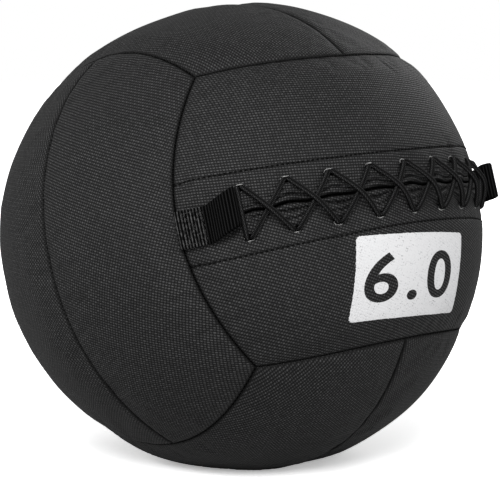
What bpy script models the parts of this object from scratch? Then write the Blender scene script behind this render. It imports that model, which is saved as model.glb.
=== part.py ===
"""A laced wall ball, 350 mm across, as it lies on the floor.

The cover is one pattern piece cut twelve times. Two panels make each face of a rounded cube, and the
line that divides a face runs square to the lines of its neighbours, so every seam ends in the middle of
another. The front face isn't sewn shut: its two panels have a row of eyelets each, and a cord laces them
over a tongue. A webbing loop is sewn into the seam at each end of the lacing. Inside are a foam pad
behind each panel, a bag, the filling in two layers, and a small bag of ballast in the middle.

Lengths are in metres and +Z is up. The origin is on the floor under the middle of the ball, and the
laced face looks towards -Y. The pattern has its own axes: -Y through the laced face, +X along the
lacing and +Z through the top face. LEAN_BACK and ROLL turn them to how the ball lies.
"""

import math

import bmesh
import bpy
from mathutils import Matrix, Vector
from mathutils.geometry import interpolate_bezier

MM = 0.001

# The ball as a whole
BALL_RADIUS = 175 * MM
SETTLED_SHARE = 0.975
REST_FLAT_RADIUS = 50 * MM
LEAN_BACK = math.radians(15)
ROLL = math.radians(2.2)

# The sewn pattern
SEAM_BOW_SHARE = 0.166
SEAM_GAP = 0.4 * MM
SEAM_DRAW = 3 * MM
SEAM_PULL = 24 * MM
SEAM_ALLOWANCE = 9 * MM
ALLOWANCE_THICKNESS = 1.3 * MM
GRID_STEPS = 6
GRID_EASE_SHARE = 0.4
GRID_CLEAR_SHARE = 0.02
SCALE_STEP_SHARE = 0.01
DIAGONAL_SHARE = math.sqrt(0.5)

# The layers, from the outside in
COVER_THICKNESS = 2.5 * MM
LAYER_GAP = 0.4 * MM
PAD_DEPTH = 13.6 * MM
PAD_EDGE_GAP = 0.8 * MM
PAD_REST_THICKNESS = 7.5 * MM
LINER_GAP = 1.6 * MM
LINER_THICKNESS = 1.2 * MM
LINER_REST_GAP = 2.4 * MM
LINER_SLIT_WIDTH = 30 * MM
LINER_SLIT_COVER = 26 * MM
STUFFING_SPLIT_GAP = 0.4 * MM
GLOBE_COLUMNS = 20
GLOBE_ROWS = 6

# The closure
LIP_RISE = 1.4 * MM
LIP_WIDTH = 9 * MM
LIP_START = 34 * MM
LIP_FADE = 12 * MM
LIP_HEM = 4.5 * MM
LIP_ROW_SHARES = (0.35, 0.8)
SLIT_GAP = 0.6 * MM
FACING_START = 2 * MM
FACING_END = 26 * MM
FACING_THICKNESS = 1.5 * MM
PAD_START = 30.5 * MM
TONGUE_DEPTH = 12.9 * MM
TONGUE_THICKNESS = 1.1 * MM
TONGUE_REACH = 24 * MM
TONGUE_SEAM = 28.6 * MM
TONGUE_END_GAP = 30.6 * MM
TONGUE_STEPS = 10

# The lacing
EYELET_PAIR_COUNT = 9
EYELET_LOOP_GAP = 9.45 * MM
EYELET_OFFSET = 16.5 * MM
EYELET_WIDTH = 5 * MM
EYELET_END_STEPS = 4
LACE_DIAMETER = 3 * MM
LACE_STEP = 4 * MM
LACE_GAP = 0.45 * MM
LACE_DEPTH = 7.1 * MM
LACE_TAIL = 8 * MM
LACE_REACH = 3.2 * MM
LACE_LOW_SHARE = 0.1
LACE_RISING_SHARE = 0.24
LACE_STEPS = 8
LACE_LONGEST_STEP = 8 * MM
LACE_SHARPEST_TURN = math.radians(24)
LACE_NEIGHBOUR_SHARE = 4

# The webbing loops
WEBBING_WIDTH = 25 * MM
WEBBING_THICKNESS = 1.6 * MM
WEBBING_PLY_GAP = 0.1 * MM
WEBBING_LIFT = 0.3 * MM
WEBBING_STATION_SHARES = (-0.5, 0, 0.5)
TAB_LENGTH = 19 * MM
TAB_ROOT = 7 * MM
TAB_BEND = 4.5 * MM
TAB_OUTER_SHARES = ((0, 0.5), (0.5, 0.85))
TAB_INNER_SHARES = ((0, 1), (0.16, 0.55), (0.45, 0.2))
TAB_SLOT_GAP = 0.4 * MM
EYE_LENGTH = 14.1 * MM
EYE_RISE = 7.2 * MM
EYE_STEPS = 10
EYE_START = math.radians(36)
EYE_WIDEST = math.radians(120)
EYE_NUDGE = math.radians(2)
EYE_CLOSING_STEPS = 4
LEFT_EYE_SKEW = 8 * MM
RIGHT_EYE_SKEW = 0 * MM
HINGE_GAP = 0.4 * MM

# The ballast
CORE_RADIUS = 46 * MM
CORE_BAG_THICKNESS = 1.5 * MM
CORE_NECK_RADIUS = 11 * MM
CORE_NECK_HEIGHT = 16 * MM
CORE_NECK_FLARE = 5 * MM
CORE_TIE_RADIUS = 2 * MM
CORE_TIE_COLUMNS = 6
CORE_POCKET_GAP = 0.5 * MM
CORE_ROWS = 7

# How far a cutter runs past what it cuts
CUT_PAST = 4 * MM

# What follows from these sizes
CENTRE_HEIGHT = SETTLED_SHARE * math.sqrt(BALL_RADIUS**2 - REST_FLAT_RADIUS**2)
LIE = Matrix.Rotation(-LEAN_BACK, 3, "X") @ Matrix.Rotation(-ROLL, 3, "Y")
FACE_HALF_ALONG = math.pi / 4 + math.asin(SEAM_BOW_SHARE)
FACE_HALF_ACROSS = math.pi / 4 - math.asin(SEAM_BOW_SHARE)
SLIT_LENGTH = 2 * BALL_RADIUS * FACE_HALF_ALONG
LINER_DEPTH = PAD_DEPTH + LINER_GAP
TONGUE_LENGTH = SLIT_LENGTH - 2 * TONGUE_END_GAP
LINER_SLIT_LENGTH = TONGUE_LENGTH - 2 * LINER_SLIT_COVER
LACE_RADIUS = LACE_DIAMETER / 2
WEBBING_PLIES = 2 * WEBBING_THICKNESS + WEBBING_PLY_GAP
HINGE_REACH = TAB_LENGTH + HINGE_GAP + WEBBING_PLIES / 2
HINGE_HEIGHT = WEBBING_LIFT + WEBBING_PLIES / 2
EYELET_END_REACH = HINGE_REACH + EYE_LENGTH + EYELET_LOOP_GAP
EYELET_PITCH = (SLIT_LENGTH - 2 * EYELET_END_REACH) / (EYELET_PAIR_COUNT - 1)

# Each panel's face and half, as the directions that they look in
PANELS = {
    "front_upper": ((0, -1, 0), (0, 0, 1)),
    "front_lower": ((0, -1, 0), (0, 0, -1)),
    "back_upper": ((0, 1, 0), (0, 0, 1)),
    "back_lower": ((0, 1, 0), (0, 0, -1)),
    "left_front": ((-1, 0, 0), (0, -1, 0)),
    "left_rear": ((-1, 0, 0), (0, 1, 0)),
    "right_front": ((1, 0, 0), (0, -1, 0)),
    "right_rear": ((1, 0, 0), (0, 1, 0)),
    "top_left": ((0, 0, 1), (-1, 0, 0)),
    "top_right": ((0, 0, 1), (1, 0, 0)),
    "bottom_left": ((0, 0, -1), (-1, 0, 0)),
    "bottom_right": ((0, 0, -1), (1, 0, 0)),
}
LACED = ("front_upper", "front_lower")


def material(name, colour, roughness):
    """A cloth, foam or cord finish."""
    made = bpy.data.materials.new(name)
    made.use_nodes = True
    shader = made.node_tree.nodes["Principled BSDF"]
    shader.inputs["Base Color"].default_value = (*colour, 1)
    shader.inputs["Roughness"].default_value = roughness
    shader.inputs["Metallic"].default_value = 0
    return made


def mesh_object(name, bm, finish, parent=None):
    """An object made of a bmesh, with its faces turned outwards."""
    bmesh.ops.recalc_face_normals(bm, faces=bm.faces)
    mesh = bpy.data.meshes.new(name)
    bm.to_mesh(mesh)
    bm.free()
    mesh.materials.append(finish)
    made = bpy.data.objects.new(name, mesh)
    made.parent = parent
    bpy.context.collection.objects.link(made)
    return made


def hide_cutter(cutter):
    """Keeps a cutter out of the model."""
    cutter.hide_render = True
    cutter.display_type = "WIRE"
    return cutter


def cut(target, cutter):
    """Cuts a solid with a cutter."""
    boolean = target.modifiers.new(cutter.name, "BOOLEAN")
    boolean.operation = "DIFFERENCE"
    boolean.solver = "EXACT"
    boolean.object = cutter


def settled(direction, radius, floor):
    """Where a point at that radius along a pattern direction lies on the settled ball.

    floor is the height that the layer keeps where the ball rests on its flat."""
    turned = LIE @ direction
    height = CENTRE_HEIGHT + SETTLED_SHARE * radius * turned.z
    return Vector((radius * turned.x, radius * turned.y, max(height, floor)))


# Places on one panel, where u runs from -1 to 1 along the dividing line and v from 0 there to 1


def seam_curve(share):
    """A seam between two faces: the distances along it, off its cube edge and outwards."""
    along = share / math.sqrt(3)
    off = -SEAM_BOW_SHARE * (1 - share**2)
    return along, off, math.sqrt(1 - along**2 - off**2)


def division(u):
    """The line that divides the face."""
    angle = u * FACE_HALF_ALONG
    return Vector((math.sin(angle), -math.cos(angle), 0))


def long_seam(u):
    """The seam on the panel's long side."""
    along, off, out = seam_curve(u)
    return Vector((along, (off - out) * DIAGONAL_SHARE, (off + out) * DIAGONAL_SHARE))


def end_seam(side, v):
    """The seam at one end of the panel, where side is -1 or 1."""
    along, off, out = seam_curve(v)
    return Vector((side * (out - off) * DIAGONAL_SHARE, -(off + out) * DIAGONAL_SHARE, along))


def panel_direction(u, v):
    """A point of the panel as a unit direction, blended from its four sides."""
    right = (u + 1) / 2
    sides = division(u) * (1 - v) + long_seam(u) * v
    ends = end_seam(-1, v) * (1 - right) + end_seam(1, v) * right
    near = division(-1) * (1 - right) + division(1) * right
    far = long_seam(-1) * (1 - right) + long_seam(1) * right
    return (sides + ends - near * (1 - v) - far * v).normalized()


def panel_scale(u, v):
    """The length that one step of u and one step of v cover there."""
    step = SCALE_STEP_SHARE
    low_u, low_v = min(u, 1 - step), min(v, 1 - step)
    here = panel_direction(low_u, low_v)
    along = (panel_direction(low_u + step, low_v) - here).length / step
    across = (panel_direction(low_u, low_v + step) - here).length / step
    return BALL_RADIUS * along, BALL_RADIUS * across


def drawn_in(u, v, laced):
    """How far the cover lies below the crown of the panel there."""
    along, across = panel_scale(u, v)
    from_seam = min((1 - abs(u)) * along, (1 - v) * across)
    if not laced:
        from_seam = min(from_seam, v * across)
    drop = SEAM_DRAW * max(0, 1 - from_seam / SEAM_PULL) ** 2
    if laced:
        across_lip = min(v * across / LIP_WIDTH, 1)
        fade = max(0, min(((1 - abs(u)) * along - LIP_START) / LIP_FADE, 1))
        drop -= LIP_RISE * fade * (1 - across_lip**2)
    return drop


def inset(u, v, edge, start=0.0):
    """The place moved inwards so that it keeps its distance from the panel's sides."""
    along, across = panel_scale(u, v)
    u = max(-1 + edge / along, min(1 - edge / along, u))
    v = max(start / across if start else edge / across, min(1 - edge / across, v))
    return u, v


def grid_shares():
    """Shares from 0 to 1 that crowd a little towards both ends."""
    shares = []
    for step in range(GRID_STEPS + 1):
        even = step / GRID_STEPS
        eased = (1 - math.cos(math.pi * even)) / 2
        shares.append((1 - GRID_EASE_SHARE) * even + GRID_EASE_SHARE * eased)
    return shares


def across_share(distance):
    """The share of a panel's width that a distance from its dividing line makes."""
    return distance / (BALL_RADIUS * FACE_HALF_ACROSS)


COLUMNS = [-share for share in reversed(grid_shares())] + grid_shares()[1:]
ROWS = grid_shares()
LIP_ROWS = [across_share(LIP_WIDTH * share) for share in LIP_ROW_SHARES]


def kept_between(shares, first, last):
    """The shares between two ends and the ends themselves, with none left close to an end."""
    clear = GRID_CLEAR_SHARE
    return [first, *(share for share in shares if first + clear < share < last - clear), last]


def panel_turn(face, half):
    """The turn that takes the front upper panel to another place on the ball."""
    inwards, up = -Vector(face), Vector(half)
    along = inwards.cross(up)
    return Matrix((along, inwards, up)).transposed()


# Solids over a grid, and along a curve


def skin_faces(bm, grid, flipped):
    """Triangles over a grid of vertices, all cut along the same diagonal."""
    for left, right in zip(grid, grid[1:]):
        for low, high in zip(range(len(left) - 1), range(1, len(left))):
            corners = [left[low], right[low], right[high], left[high]]
            for face in ((0, 1, 2), (0, 2, 3)):
                loop = [corners[corner] for corner in face]
                bm.faces.new(reversed(loop) if flipped else loop)


def border(grid):
    """The outer vertices of a grid, once round."""
    first, last = grid[0], grid[-1]
    near = [column[0] for column in grid[:-1]]
    far = [column[-1] for column in grid[:0:-1]]
    return near + last[:-1] + far + first[:0:-1]


def wall_faces(bm, upper, lower):
    """A closed wall between two rings of vertices."""
    for here in range(len(upper)):
        after = (here + 1) % len(upper)
        bm.faces.new((upper[here], upper[after], lower[after]))
        bm.faces.new((upper[here], lower[after], lower[here]))


def layer_mesh(columns, rows, outer, inner, rims=()):
    """A closed layer between two surfaces, with any rings of its rim between them."""
    bm = bmesh.new()
    outside = [[bm.verts.new(outer(u, v)) for v in rows] for u in columns]
    inside = [[bm.verts.new(inner(u, v)) for v in rows] for u in columns]
    skin_faces(bm, outside, False)
    skin_faces(bm, inside, True)
    places = border([[(u, v) for v in rows] for u in columns])
    rings = [border(outside)]
    rings += [[bm.verts.new(rim(u, v)) for u, v in places] for rim in rims]
    rings.append(border(inside))
    for upper, lower in zip(rings, rings[1:]):
        wall_faces(bm, upper, lower)
    return bm


def ribbon_mesh(first, second, stations, place, closed=False):
    """A solid between two chains of profile points, carried through the stations."""
    bm = bmesh.new()
    sections = []
    for station in stations:
        chains = [[bm.verts.new(place(point, station)) for point in chain] for chain in (first, second)]
        sections.append(chains)
    links = [(here, here + 1) for here in range(len(first) - 1)]
    if closed:
        links.append((len(first) - 1, 0))
    for start, end in zip(sections, sections[1:]):
        for here, after in links:
            for chain in (0, 1):
                quad = (start[chain][here], start[chain][after], end[chain][after], end[chain][here])
                bm.faces.new(quad)
        if not closed:
            for tip in (0, -1):
                bm.faces.new((start[0][tip], start[1][tip], end[1][tip], end[0][tip]))
    for chains in (sections[0], sections[-1]):
        for here, after in links:
            bm.faces.new((chains[0][here], chains[0][after], chains[1][after], chains[1][here]))
    return bm


def turned_mesh(profile, columns):
    """A solid of revolution about the upright axis of the ball.

    The profile runs from the axis round to the axis again, as distances from it and heights."""
    bm = bmesh.new()
    rings = []
    for radius, height in profile:
        count = columns if radius > 0 else 1
        rings.append([])
        for column in range(count):
            angle = 2 * math.pi * column / columns
            place = Vector((radius * math.cos(angle), radius * math.sin(angle), height))
            rings[-1].append(bm.verts.new(place))
    for upper, lower in zip(rings, rings[1:]):
        for column in range(columns):
            after = (column + 1) % columns
            if len(upper) == 1:
                bm.faces.new((upper[0], lower[column], lower[after]))
            elif len(lower) == 1:
                bm.faces.new((upper[column], lower[0], upper[after]))
            else:
                bm.faces.new((upper[column], upper[after], lower[after], lower[column]))
    return bm


# The cover, its seam allowances and the foam pads


def cover_panel(name, face, half, finish, parent):
    """One cover panel, with the seam allowance turned in along its sides."""
    turn, laced = panel_turn(face, half), name in LACED
    edge = SEAM_GAP / 2
    thick = edge + ALLOWANCE_THICKNESS

    def at(u, v, edge, depth):
        moved = inset(u, v, edge, max(edge, SLIT_GAP / 2) if laced and v == 0 else 0.0)
        radius = BALL_RADIUS - drawn_in(u, v, laced) - depth
        return settled(turn @ panel_direction(*moved), radius, depth)

    def outer(u, v):
        return at(u, v, edge, 0)

    def inner(u, v):
        return at(u, v, thick, COVER_THICKNESS)

    def allowance(u, v):
        """The depth of the seam allowance, or of the hem where the lips of the slit are open."""
        return LIP_HEM if laced and v == 0 and abs(u) < 1 else SEAM_ALLOWANCE

    def rim_outside(u, v):
        return at(u, v, edge, allowance(u, v))

    def rim_inside(u, v):
        return at(u, v, thick, allowance(u, v))

    rows = sorted(ROWS + LIP_ROWS) if laced else ROWS
    bm = layer_mesh(COLUMNS, rows, outer, inner, (rim_outside, rim_inside))
    return mesh_object(name + "_panel", bm, finish, parent)


def foam_pad(name, face, half, finish, parent):
    """The foam pad behind one panel, crowned outside and following the round filling inside."""
    turn, laced = panel_turn(face, half), name in LACED
    edge = SEAM_GAP / 2 + ALLOWANCE_THICKNESS + PAD_EDGE_GAP
    top = COVER_THICKNESS + LAYER_GAP

    def direction(u, v):
        return turn @ panel_direction(*inset(u, v, edge))

    def outer(u, v):
        return settled(direction(u, v), BALL_RADIUS - drawn_in(u, v, laced) - top, top)

    def inner(u, v):
        return settled(direction(u, v), BALL_RADIUS - PAD_DEPTH, top + PAD_REST_THICKNESS)

    rows = kept_between(ROWS, across_share(PAD_START), 1) if laced else ROWS
    return mesh_object(name + "_pad", layer_mesh(COLUMNS, rows, outer, inner), finish, parent)


# Places on the closure: the distance along the slit from its middle, the distance across it and the
# height above the crown of the cover


def closure_point(along, across, height):
    """A place on the closure, in the world."""
    turn, rise = along / BALL_RADIUS, across / BALL_RADIUS
    level = math.cos(rise)
    direction = Vector((math.sin(turn) * level, -math.cos(turn) * level, math.sin(rise)))
    return settled(direction, BALL_RADIUS + height, 0)


def closure_axes(along, across, height):
    """The directions along the slit, across it and outwards at a place on the closure."""
    step = LACE_DIAMETER
    ahead = closure_point(along + step, across, height) - closure_point(along - step, across, height)
    up = closure_point(along, across + step, height) - closure_point(along, across - step, height)
    ahead.normalize()
    out = ahead.cross(up).normalized()
    return ahead, out.cross(ahead), out


def eyelet_along(pair):
    """How far along the slit a pair of eyelets lies from its middle."""
    return EYELET_PITCH * (pair - (EYELET_PAIR_COUNT - 1) / 2)


def eyelet_outline():
    """The oval of an eyelet, as distances along the slit and across it from the eyelet's middle."""
    outline = []
    for end in (-1, 1):
        first = math.pi / 2 * -end
        for corner in range(EYELET_END_STEPS + 1):
            angle = first + math.pi * corner / EYELET_END_STEPS
            east = end * LACE_STEP / 2 + EYELET_WIDTH / 2 * math.cos(angle)
            outline.append((east, EYELET_WIDTH / 2 * math.sin(angle)))
    return outline


def eyelet_cutter(finish):
    """The oval punches of all the eyelets, long enough for two passes of the cord each."""
    bm = bmesh.new()
    for pair in range(EYELET_PAIR_COUNT):
        for side in (-1, 1):
            place = (eyelet_along(pair), side * EYELET_OFFSET)
            ahead, up, out = closure_axes(*place, 0)
            outline = [ahead * east + up * north for east, north in eyelet_outline()]
            base = closure_point(*place, 0)
            high = [bm.verts.new(base + point + out * (LIP_RISE + CUT_PAST)) for point in outline]
            low = [bm.verts.new(base + point - out * (LACE_DEPTH + CUT_PAST)) for point in outline]
            bm.faces.new(high)
            bm.faces.new(reversed(low))
            wall_faces(bm, high, low)
    return hide_cutter(mesh_object("eyelet_cutter", bm, finish))


def facing_strip(name, half, finish, parent):
    """The stiff strip behind the eyelets of one panel."""
    turn = panel_turn((0, -1, 0), half)
    rows = kept_between(sorted(ROWS + LIP_ROWS), 0, across_share(FACING_END))
    top = COVER_THICKNESS + LAYER_GAP

    def direction(u, v):
        return turn @ panel_direction(*inset(u, v, FACING_START))

    def outer(u, v):
        return settled(direction(u, v), BALL_RADIUS - top, top)

    def inner(u, v):
        depth = top + FACING_THICKNESS
        return settled(direction(u, v), BALL_RADIUS - depth, depth)

    return mesh_object(name, layer_mesh(COLUMNS[1:-1], rows, outer, inner), finish, parent)


def tongue(finish, parent):
    """The flap behind the lacing, with one side turned up to its seam on the upper panel."""
    seam_top = -(COVER_THICKNESS + 3 * LAYER_GAP)
    outer = [
        (TONGUE_SEAM, seam_top),
        (TONGUE_SEAM, -TONGUE_DEPTH - TONGUE_THICKNESS),
        (0, -TONGUE_DEPTH - TONGUE_THICKNESS),
        (-TONGUE_REACH, -TONGUE_DEPTH - TONGUE_THICKNESS),
    ]
    inner = [
        (TONGUE_SEAM - TONGUE_THICKNESS, seam_top),
        (TONGUE_SEAM - TONGUE_THICKNESS, -TONGUE_DEPTH),
        (0, -TONGUE_DEPTH),
        (-TONGUE_REACH, -TONGUE_DEPTH),
    ]
    steps = [TONGUE_LENGTH * (step / TONGUE_STEPS - 0.5) for step in range(TONGUE_STEPS + 1)]
    bm = ribbon_mesh(outer, inner, steps, lambda point, along: closure_point(along, *point))
    return mesh_object("closure_tongue", bm, finish, parent)


# The lacing


def over_lips(start, end, crossing):
    """The cord from one eyelet to another over the lips, as places on the closure.

    crossing is the height that the cord has in the middle."""
    low = LACE_RADIUS + LACE_GAP
    rise = [(LACE_LOW_SHARE, low), (LACE_RISING_SHARE, (low + crossing) / 2)]
    fall = [(1 - share, height) for share, height in reversed(rise)]
    points = [*rise, (0.5, crossing), *fall]
    return [(*(a + (b - a) * share for a, b in zip(start, end)), height) for share, height in points]


def through(place, down):
    """The cord through an eyelet, downwards or upwards."""
    below = -(COVER_THICKNESS + LAYER_GAP + FACING_THICKNESS + LACE_GAP)
    points = [(*place, LACE_GAP), (*place, below)]
    return points if down else points[::-1]


def under_lips(start, end, depth):
    """The cord from one eyelet to the other of its pair, behind the lips."""
    side = math.copysign(1, start[1])
    turn = LACE_REACH / (2 * EYELET_OFFSET)
    return [
        (start[0] + (end[0] - start[0]) * turn, start[1] - side * LACE_REACH, -depth),
        ((start[0] + end[0]) / 2, 0, -depth),
        (end[0] - (end[0] - start[0]) * turn, end[1] + side * LACE_REACH, -depth),
    ]


def lace_places():
    """The whole route of the cord, from its tail at the right round the left end and back.

    Two runs cross in every gap between two pairs, and each eyelet takes one pass of either run: the one
    that arrives on its left side and the one that leaves on its right."""
    side_step = LACE_STEP / 2
    apart = LACE_DIAMETER + LACE_GAP
    lying = LIP_RISE + LACE_RADIUS + LACE_GAP
    last_pair = EYELET_PAIR_COUNT - 1

    def run(first_side, crossing, depth, comes_up):
        """One run from the left end through the last pair, where it comes up again or stays behind."""
        places = []
        side = -first_side
        for pair in range(EYELET_PAIR_COUNT):
            arriving = (eyelet_along(pair) - side_step, side * EYELET_OFFSET)
            leaving = (eyelet_along(pair) + side_step, -side * EYELET_OFFSET)
            places += through(arriving, True)
            if pair < last_pair or comes_up:
                places += under_lips(arriving, leaving, depth) + through(leaving, False)
            if pair < last_pair:
                following = (eyelet_along(pair + 1) - side_step, side * EYELET_OFFSET)
                places += over_lips(leaving, following, crossing)
        return places

    def bar(along):
        """The cord straight over the lips at one end of the lacing."""
        return over_lips((along, EYELET_OFFSET), (along, -EYELET_OFFSET), lying)

    def tail(along, across, way):
        """An end of the cord behind the lips, which runs left or right from its eyelet."""
        turned, end = along + way * LACE_REACH, along + way * (LACE_REACH + LACE_TAIL)
        return [(turned, across, -LACE_DEPTH), (end, across, -LACE_DEPTH)]

    first, last = eyelet_along(0) - side_step, eyelet_along(last_pair) + side_step
    upper_run = run(1, lying + apart, LACE_DEPTH, True)
    lower_run = run(-1, lying, LACE_DEPTH + apart, False)
    start = lower_run + tail(eyelet_along(last_pair) - side_step, EYELET_OFFSET, -1)
    finish = through((last, -EYELET_OFFSET), True) + tail(last, -EYELET_OFFSET, 1)
    return start[::-1] + bar(first) + upper_run + bar(last) + finish


def heading(before, here, after):
    """The slope of a smooth curve at a point, where its parameter is the root of the distance."""
    arriving, leaving = math.sqrt((here - before).length), math.sqrt((after - here).length)
    across = (after - before) / (arriving + leaving)
    return (here - before) / arriving + (after - here) / leaving - across


def smooth(points, steps):
    """Points read from one smooth curve through all of these."""
    padded = [points[0] * 2 - points[1], *points, points[-1] * 2 - points[-2]]
    out = []
    for before, start, end, after in zip(padded, padded[1:], padded[2:], padded[3:]):
        handle = math.sqrt((end - start).length) / 3
        leaving = start + heading(before, start, end) * handle
        arriving = end - heading(start, end, after) * handle
        out += interpolate_bezier(start, leaving, arriving, end, steps + 1)[:-1]
    return out + [points[-1]]


def thinned(points):
    """Fewer points: one wherever the curve has turned or run far enough."""
    kept = [points[0]]
    ahead = points[1] - points[0]
    for here, after in zip(points[1:], points[2:]):
        turned = ahead.angle(after - here)
        if turned > LACE_SHARPEST_TURN or (here - kept[-1]).length > LACE_LONGEST_STEP:
            kept.append(here)
            ahead = after - here
    return kept + [points[-1]]


def least_gap(points, diameter):
    """The least gap between stretches of a cord that aren't next to each other."""
    least = math.inf
    travelled = [0.0]
    for a, b in zip(points, points[1:]):
        travelled.append(travelled[-1] + (b - a).length)
    for here, start in enumerate(points):
        for there in range(here + 1, len(points)):
            if travelled[there] - travelled[here] > LACE_NEIGHBOUR_SHARE * diameter:
                least = min(least, (points[there] - start).length)
    return least - diameter


def lacing_cord(finish, parent):
    """The cord, as one tube along its whole route."""
    dense = smooth([closure_point(*place) for place in lace_places()], LACE_STEPS)
    points = thinned(dense)
    curve = bpy.data.curves.new("lacing_cord", "CURVE")
    curve.dimensions = "3D"
    curve.bevel_depth = LACE_RADIUS
    curve.bevel_resolution = 1
    curve.render_resolution_u = 0
    curve.use_fill_caps = True
    spline = curve.splines.new("POLY")
    spline.points.add(len(points) - 1)
    for knot, point in zip(spline.points, points):
        knot.co = (*point, 1)
    curve.materials.append(finish)
    made = bpy.data.objects.new("lacing_cord", curve)
    made.parent = parent
    bpy.context.collection.objects.link(made)
    length = sum((b - a).length for a, b in zip(dense, dense[1:]))
    print(f"lacing cord: {length:.3f} m, least gap to itself {least_gap(dense, LACE_DIAMETER) / MM:.2f} mm")
    return made


# The webbing loops


def seam_along(side, distance):
    """The distance along the slit of a place that far from the seam at one end of it."""
    return side * (SLIT_LENGTH / 2 - distance)


def webbing_stations():
    """Where the width of the webbing is divided."""
    return [WEBBING_WIDTH * share for share in WEBBING_STATION_SHARES]


def sewn_tab(name, side, finish, parent):
    """The stitched end of a webbing loop: two plies that come out of the seam and lie on the panels."""
    half = WEBBING_PLIES / 2
    low, high = WEBBING_LIFT, WEBBING_LIFT + WEBBING_PLIES
    root = -SEAM_DRAW - TAB_ROOT
    outside = [(-half, root), (-half, -SEAM_DRAW / 2)]
    outside += [(TAB_BEND * ahead, high * up) for ahead, up in TAB_OUTER_SHARES]
    outside += [(TAB_BEND + half, high), (TAB_LENGTH, high)]
    inside = [(half, root)]
    inside += [(half + TAB_BEND * ahead, -SEAM_DRAW * down) for ahead, down in TAB_INNER_SHARES]
    inside += [(TAB_BEND + half, low), (TAB_LENGTH, low)]

    def place(point, across):
        return closure_point(seam_along(side, point[0]), across, point[1])

    bm = ribbon_mesh(outside, inside, webbing_stations(), place)
    return mesh_object(name, bm, finish, parent)


def tab_slot_cutter(name, side, finish):
    """The room that the root of a tab takes in the seam."""
    wide = WEBBING_PLIES / 2 + TAB_SLOT_GAP
    high, low = LIP_RISE + CUT_PAST, -SEAM_DRAW - SEAM_ALLOWANCE - CUT_PAST
    first, second = [(-wide, high), (wide, high)], [(-wide, low), (wide, low)]
    reach = WEBBING_WIDTH / 2 + TAB_SLOT_GAP

    def place(point, across):
        return closure_point(seam_along(side, point[0]), across, point[1])

    return hide_cutter(mesh_object(name, ribbon_mesh(first, second, [-reach, 0, reach], place), finish))


def eye_outlines():
    """The outer and inner outline of the open end of a loop, from the hinge to the fold and back.

    Distances run from the hinge towards the fold, and heights outwards from the hinge."""
    half = WEBBING_PLIES / 2
    ply = half - WEBBING_THICKNESS / 2

    def bulge(angle):
        """A wave that is flat at the hinge and is widest where the eye gapes most."""
        return math.sin(angle) * math.sin(angle / 2) ** 2

    def middle(angle):
        """The middle of the webbing, from 0 at the hinge through pi at the fold and on to 2 pi."""
        swell = EYE_RISE / 2 * bulge(angle) / bulge(EYE_WIDEST)
        lift = EYE_RISE / 2 if math.cos(angle) < math.cos(EYE_WIDEST) else abs(swell)
        return Vector((EYE_LENGTH * (1 - math.cos(angle)) / 2, lift + swell + ply * math.cos(angle / 2)))

    outer, inner = [], []
    for step in range(EYE_STEPS + 1):
        angle = EYE_START + 2 * (math.pi - EYE_START) * step / EYE_STEPS
        run = (middle(angle + EYE_NUDGE) - middle(angle - EYE_NUDGE)).normalized()
        out = Vector((-run.y, run.x)) * WEBBING_THICKNESS / 2
        outer.append(middle(angle) + out)
        inner.append(middle(angle) - out)
    closing = WEBBING_PLY_GAP
    for step in range(EYE_CLOSING_STEPS + 1):
        angle = -math.pi / 2 - math.pi * step / EYE_CLOSING_STEPS
        outer.append(Vector((math.cos(angle), math.sin(angle))) * half)
        inner.append(Vector((half / 2 + closing * math.cos(angle), closing * math.sin(angle) + ply / 4)))
    return outer, inner


def loop_eye(name, side, skew, finish, parent):
    """The open end of a webbing loop, which swings up about the edge of its stitched end."""
    outer, inner = eye_outlines()

    def place(point, across):
        slide = skew * max(0, point[0]) / EYE_LENGTH
        return Vector((-side * point[0], across + slide, point[1]))

    made = mesh_object(name, ribbon_mesh(outer, inner, webbing_stations(), place, True), finish, parent)
    hinge = (seam_along(side, HINGE_REACH), 0, HINGE_HEIGHT)
    origin, axes = closure_point(*hinge), closure_axes(*hinge)
    made.matrix_world = Matrix.Translation(origin) @ Matrix(axes).transposed().to_4x4()
    axis = axes[1] * side
    print(f"{name}: hinge at {[round(x, 5) for x in origin]}, axis {[round(x, 5) for x in axis]}")
    return made


# The bag, the filling and the ballast


def globe_profile(radius, floor):
    """The profile of a settled globe, as its lower half from the floor up and its upper half."""
    lowest = math.acos((CENTRE_HEIGHT - floor) / (SETTLED_SHARE * radius))

    def arc(first, last):
        angles = [first + (last - first) * row / GLOBE_ROWS for row in range(GLOBE_ROWS + 1)]
        heights = [CENTRE_HEIGHT - SETTLED_SHARE * radius * math.cos(angle) for angle in angles]
        return [(radius * math.sin(angle), height) for angle, height in zip(angles, heights)]

    upper = arc(math.pi / 2, math.pi)
    return [(0, floor), *arc(lowest, math.pi / 2)], [*upper[:-1], (0, upper[-1][1])]


def inner_bag(finish, parent):
    """The bag that holds the filling, with its filling slit behind the tongue."""
    floor = COVER_THICKNESS + LAYER_GAP + PAD_REST_THICKNESS + LINER_REST_GAP
    shells = []
    for depth in (0, LINER_THICKNESS):
        lower, upper = globe_profile(BALL_RADIUS - LINER_DEPTH - depth, floor + depth)
        shells.append(turned_mesh([*lower, *upper[1:]], GLOBE_COLUMNS))
    outside, hollow = shells
    made = mesh_object("inner_bag", outside, finish, parent)
    cut(made, hide_cutter(mesh_object("bag_hollow_cutter", hollow, finish)))
    return made


def bag_slit_cutter(finish):
    """The filling slit of the inner bag."""
    wide = LINER_SLIT_WIDTH / 2
    high, low = -LINER_DEPTH + CUT_PAST, -LINER_DEPTH - LINER_THICKNESS - CUT_PAST
    first, second = [(-wide, high), (0, high), (wide, high)], [(-wide, low), (0, low), (wide, low)]
    steps = [LINER_SLIT_LENGTH * (step / TONGUE_STEPS - 0.5) for step in range(TONGUE_STEPS + 1)]
    bm = ribbon_mesh(first, second, steps, lambda point, along: closure_point(along, *point))
    return hide_cutter(mesh_object("bag_slit_cutter", bm, finish))


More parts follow.
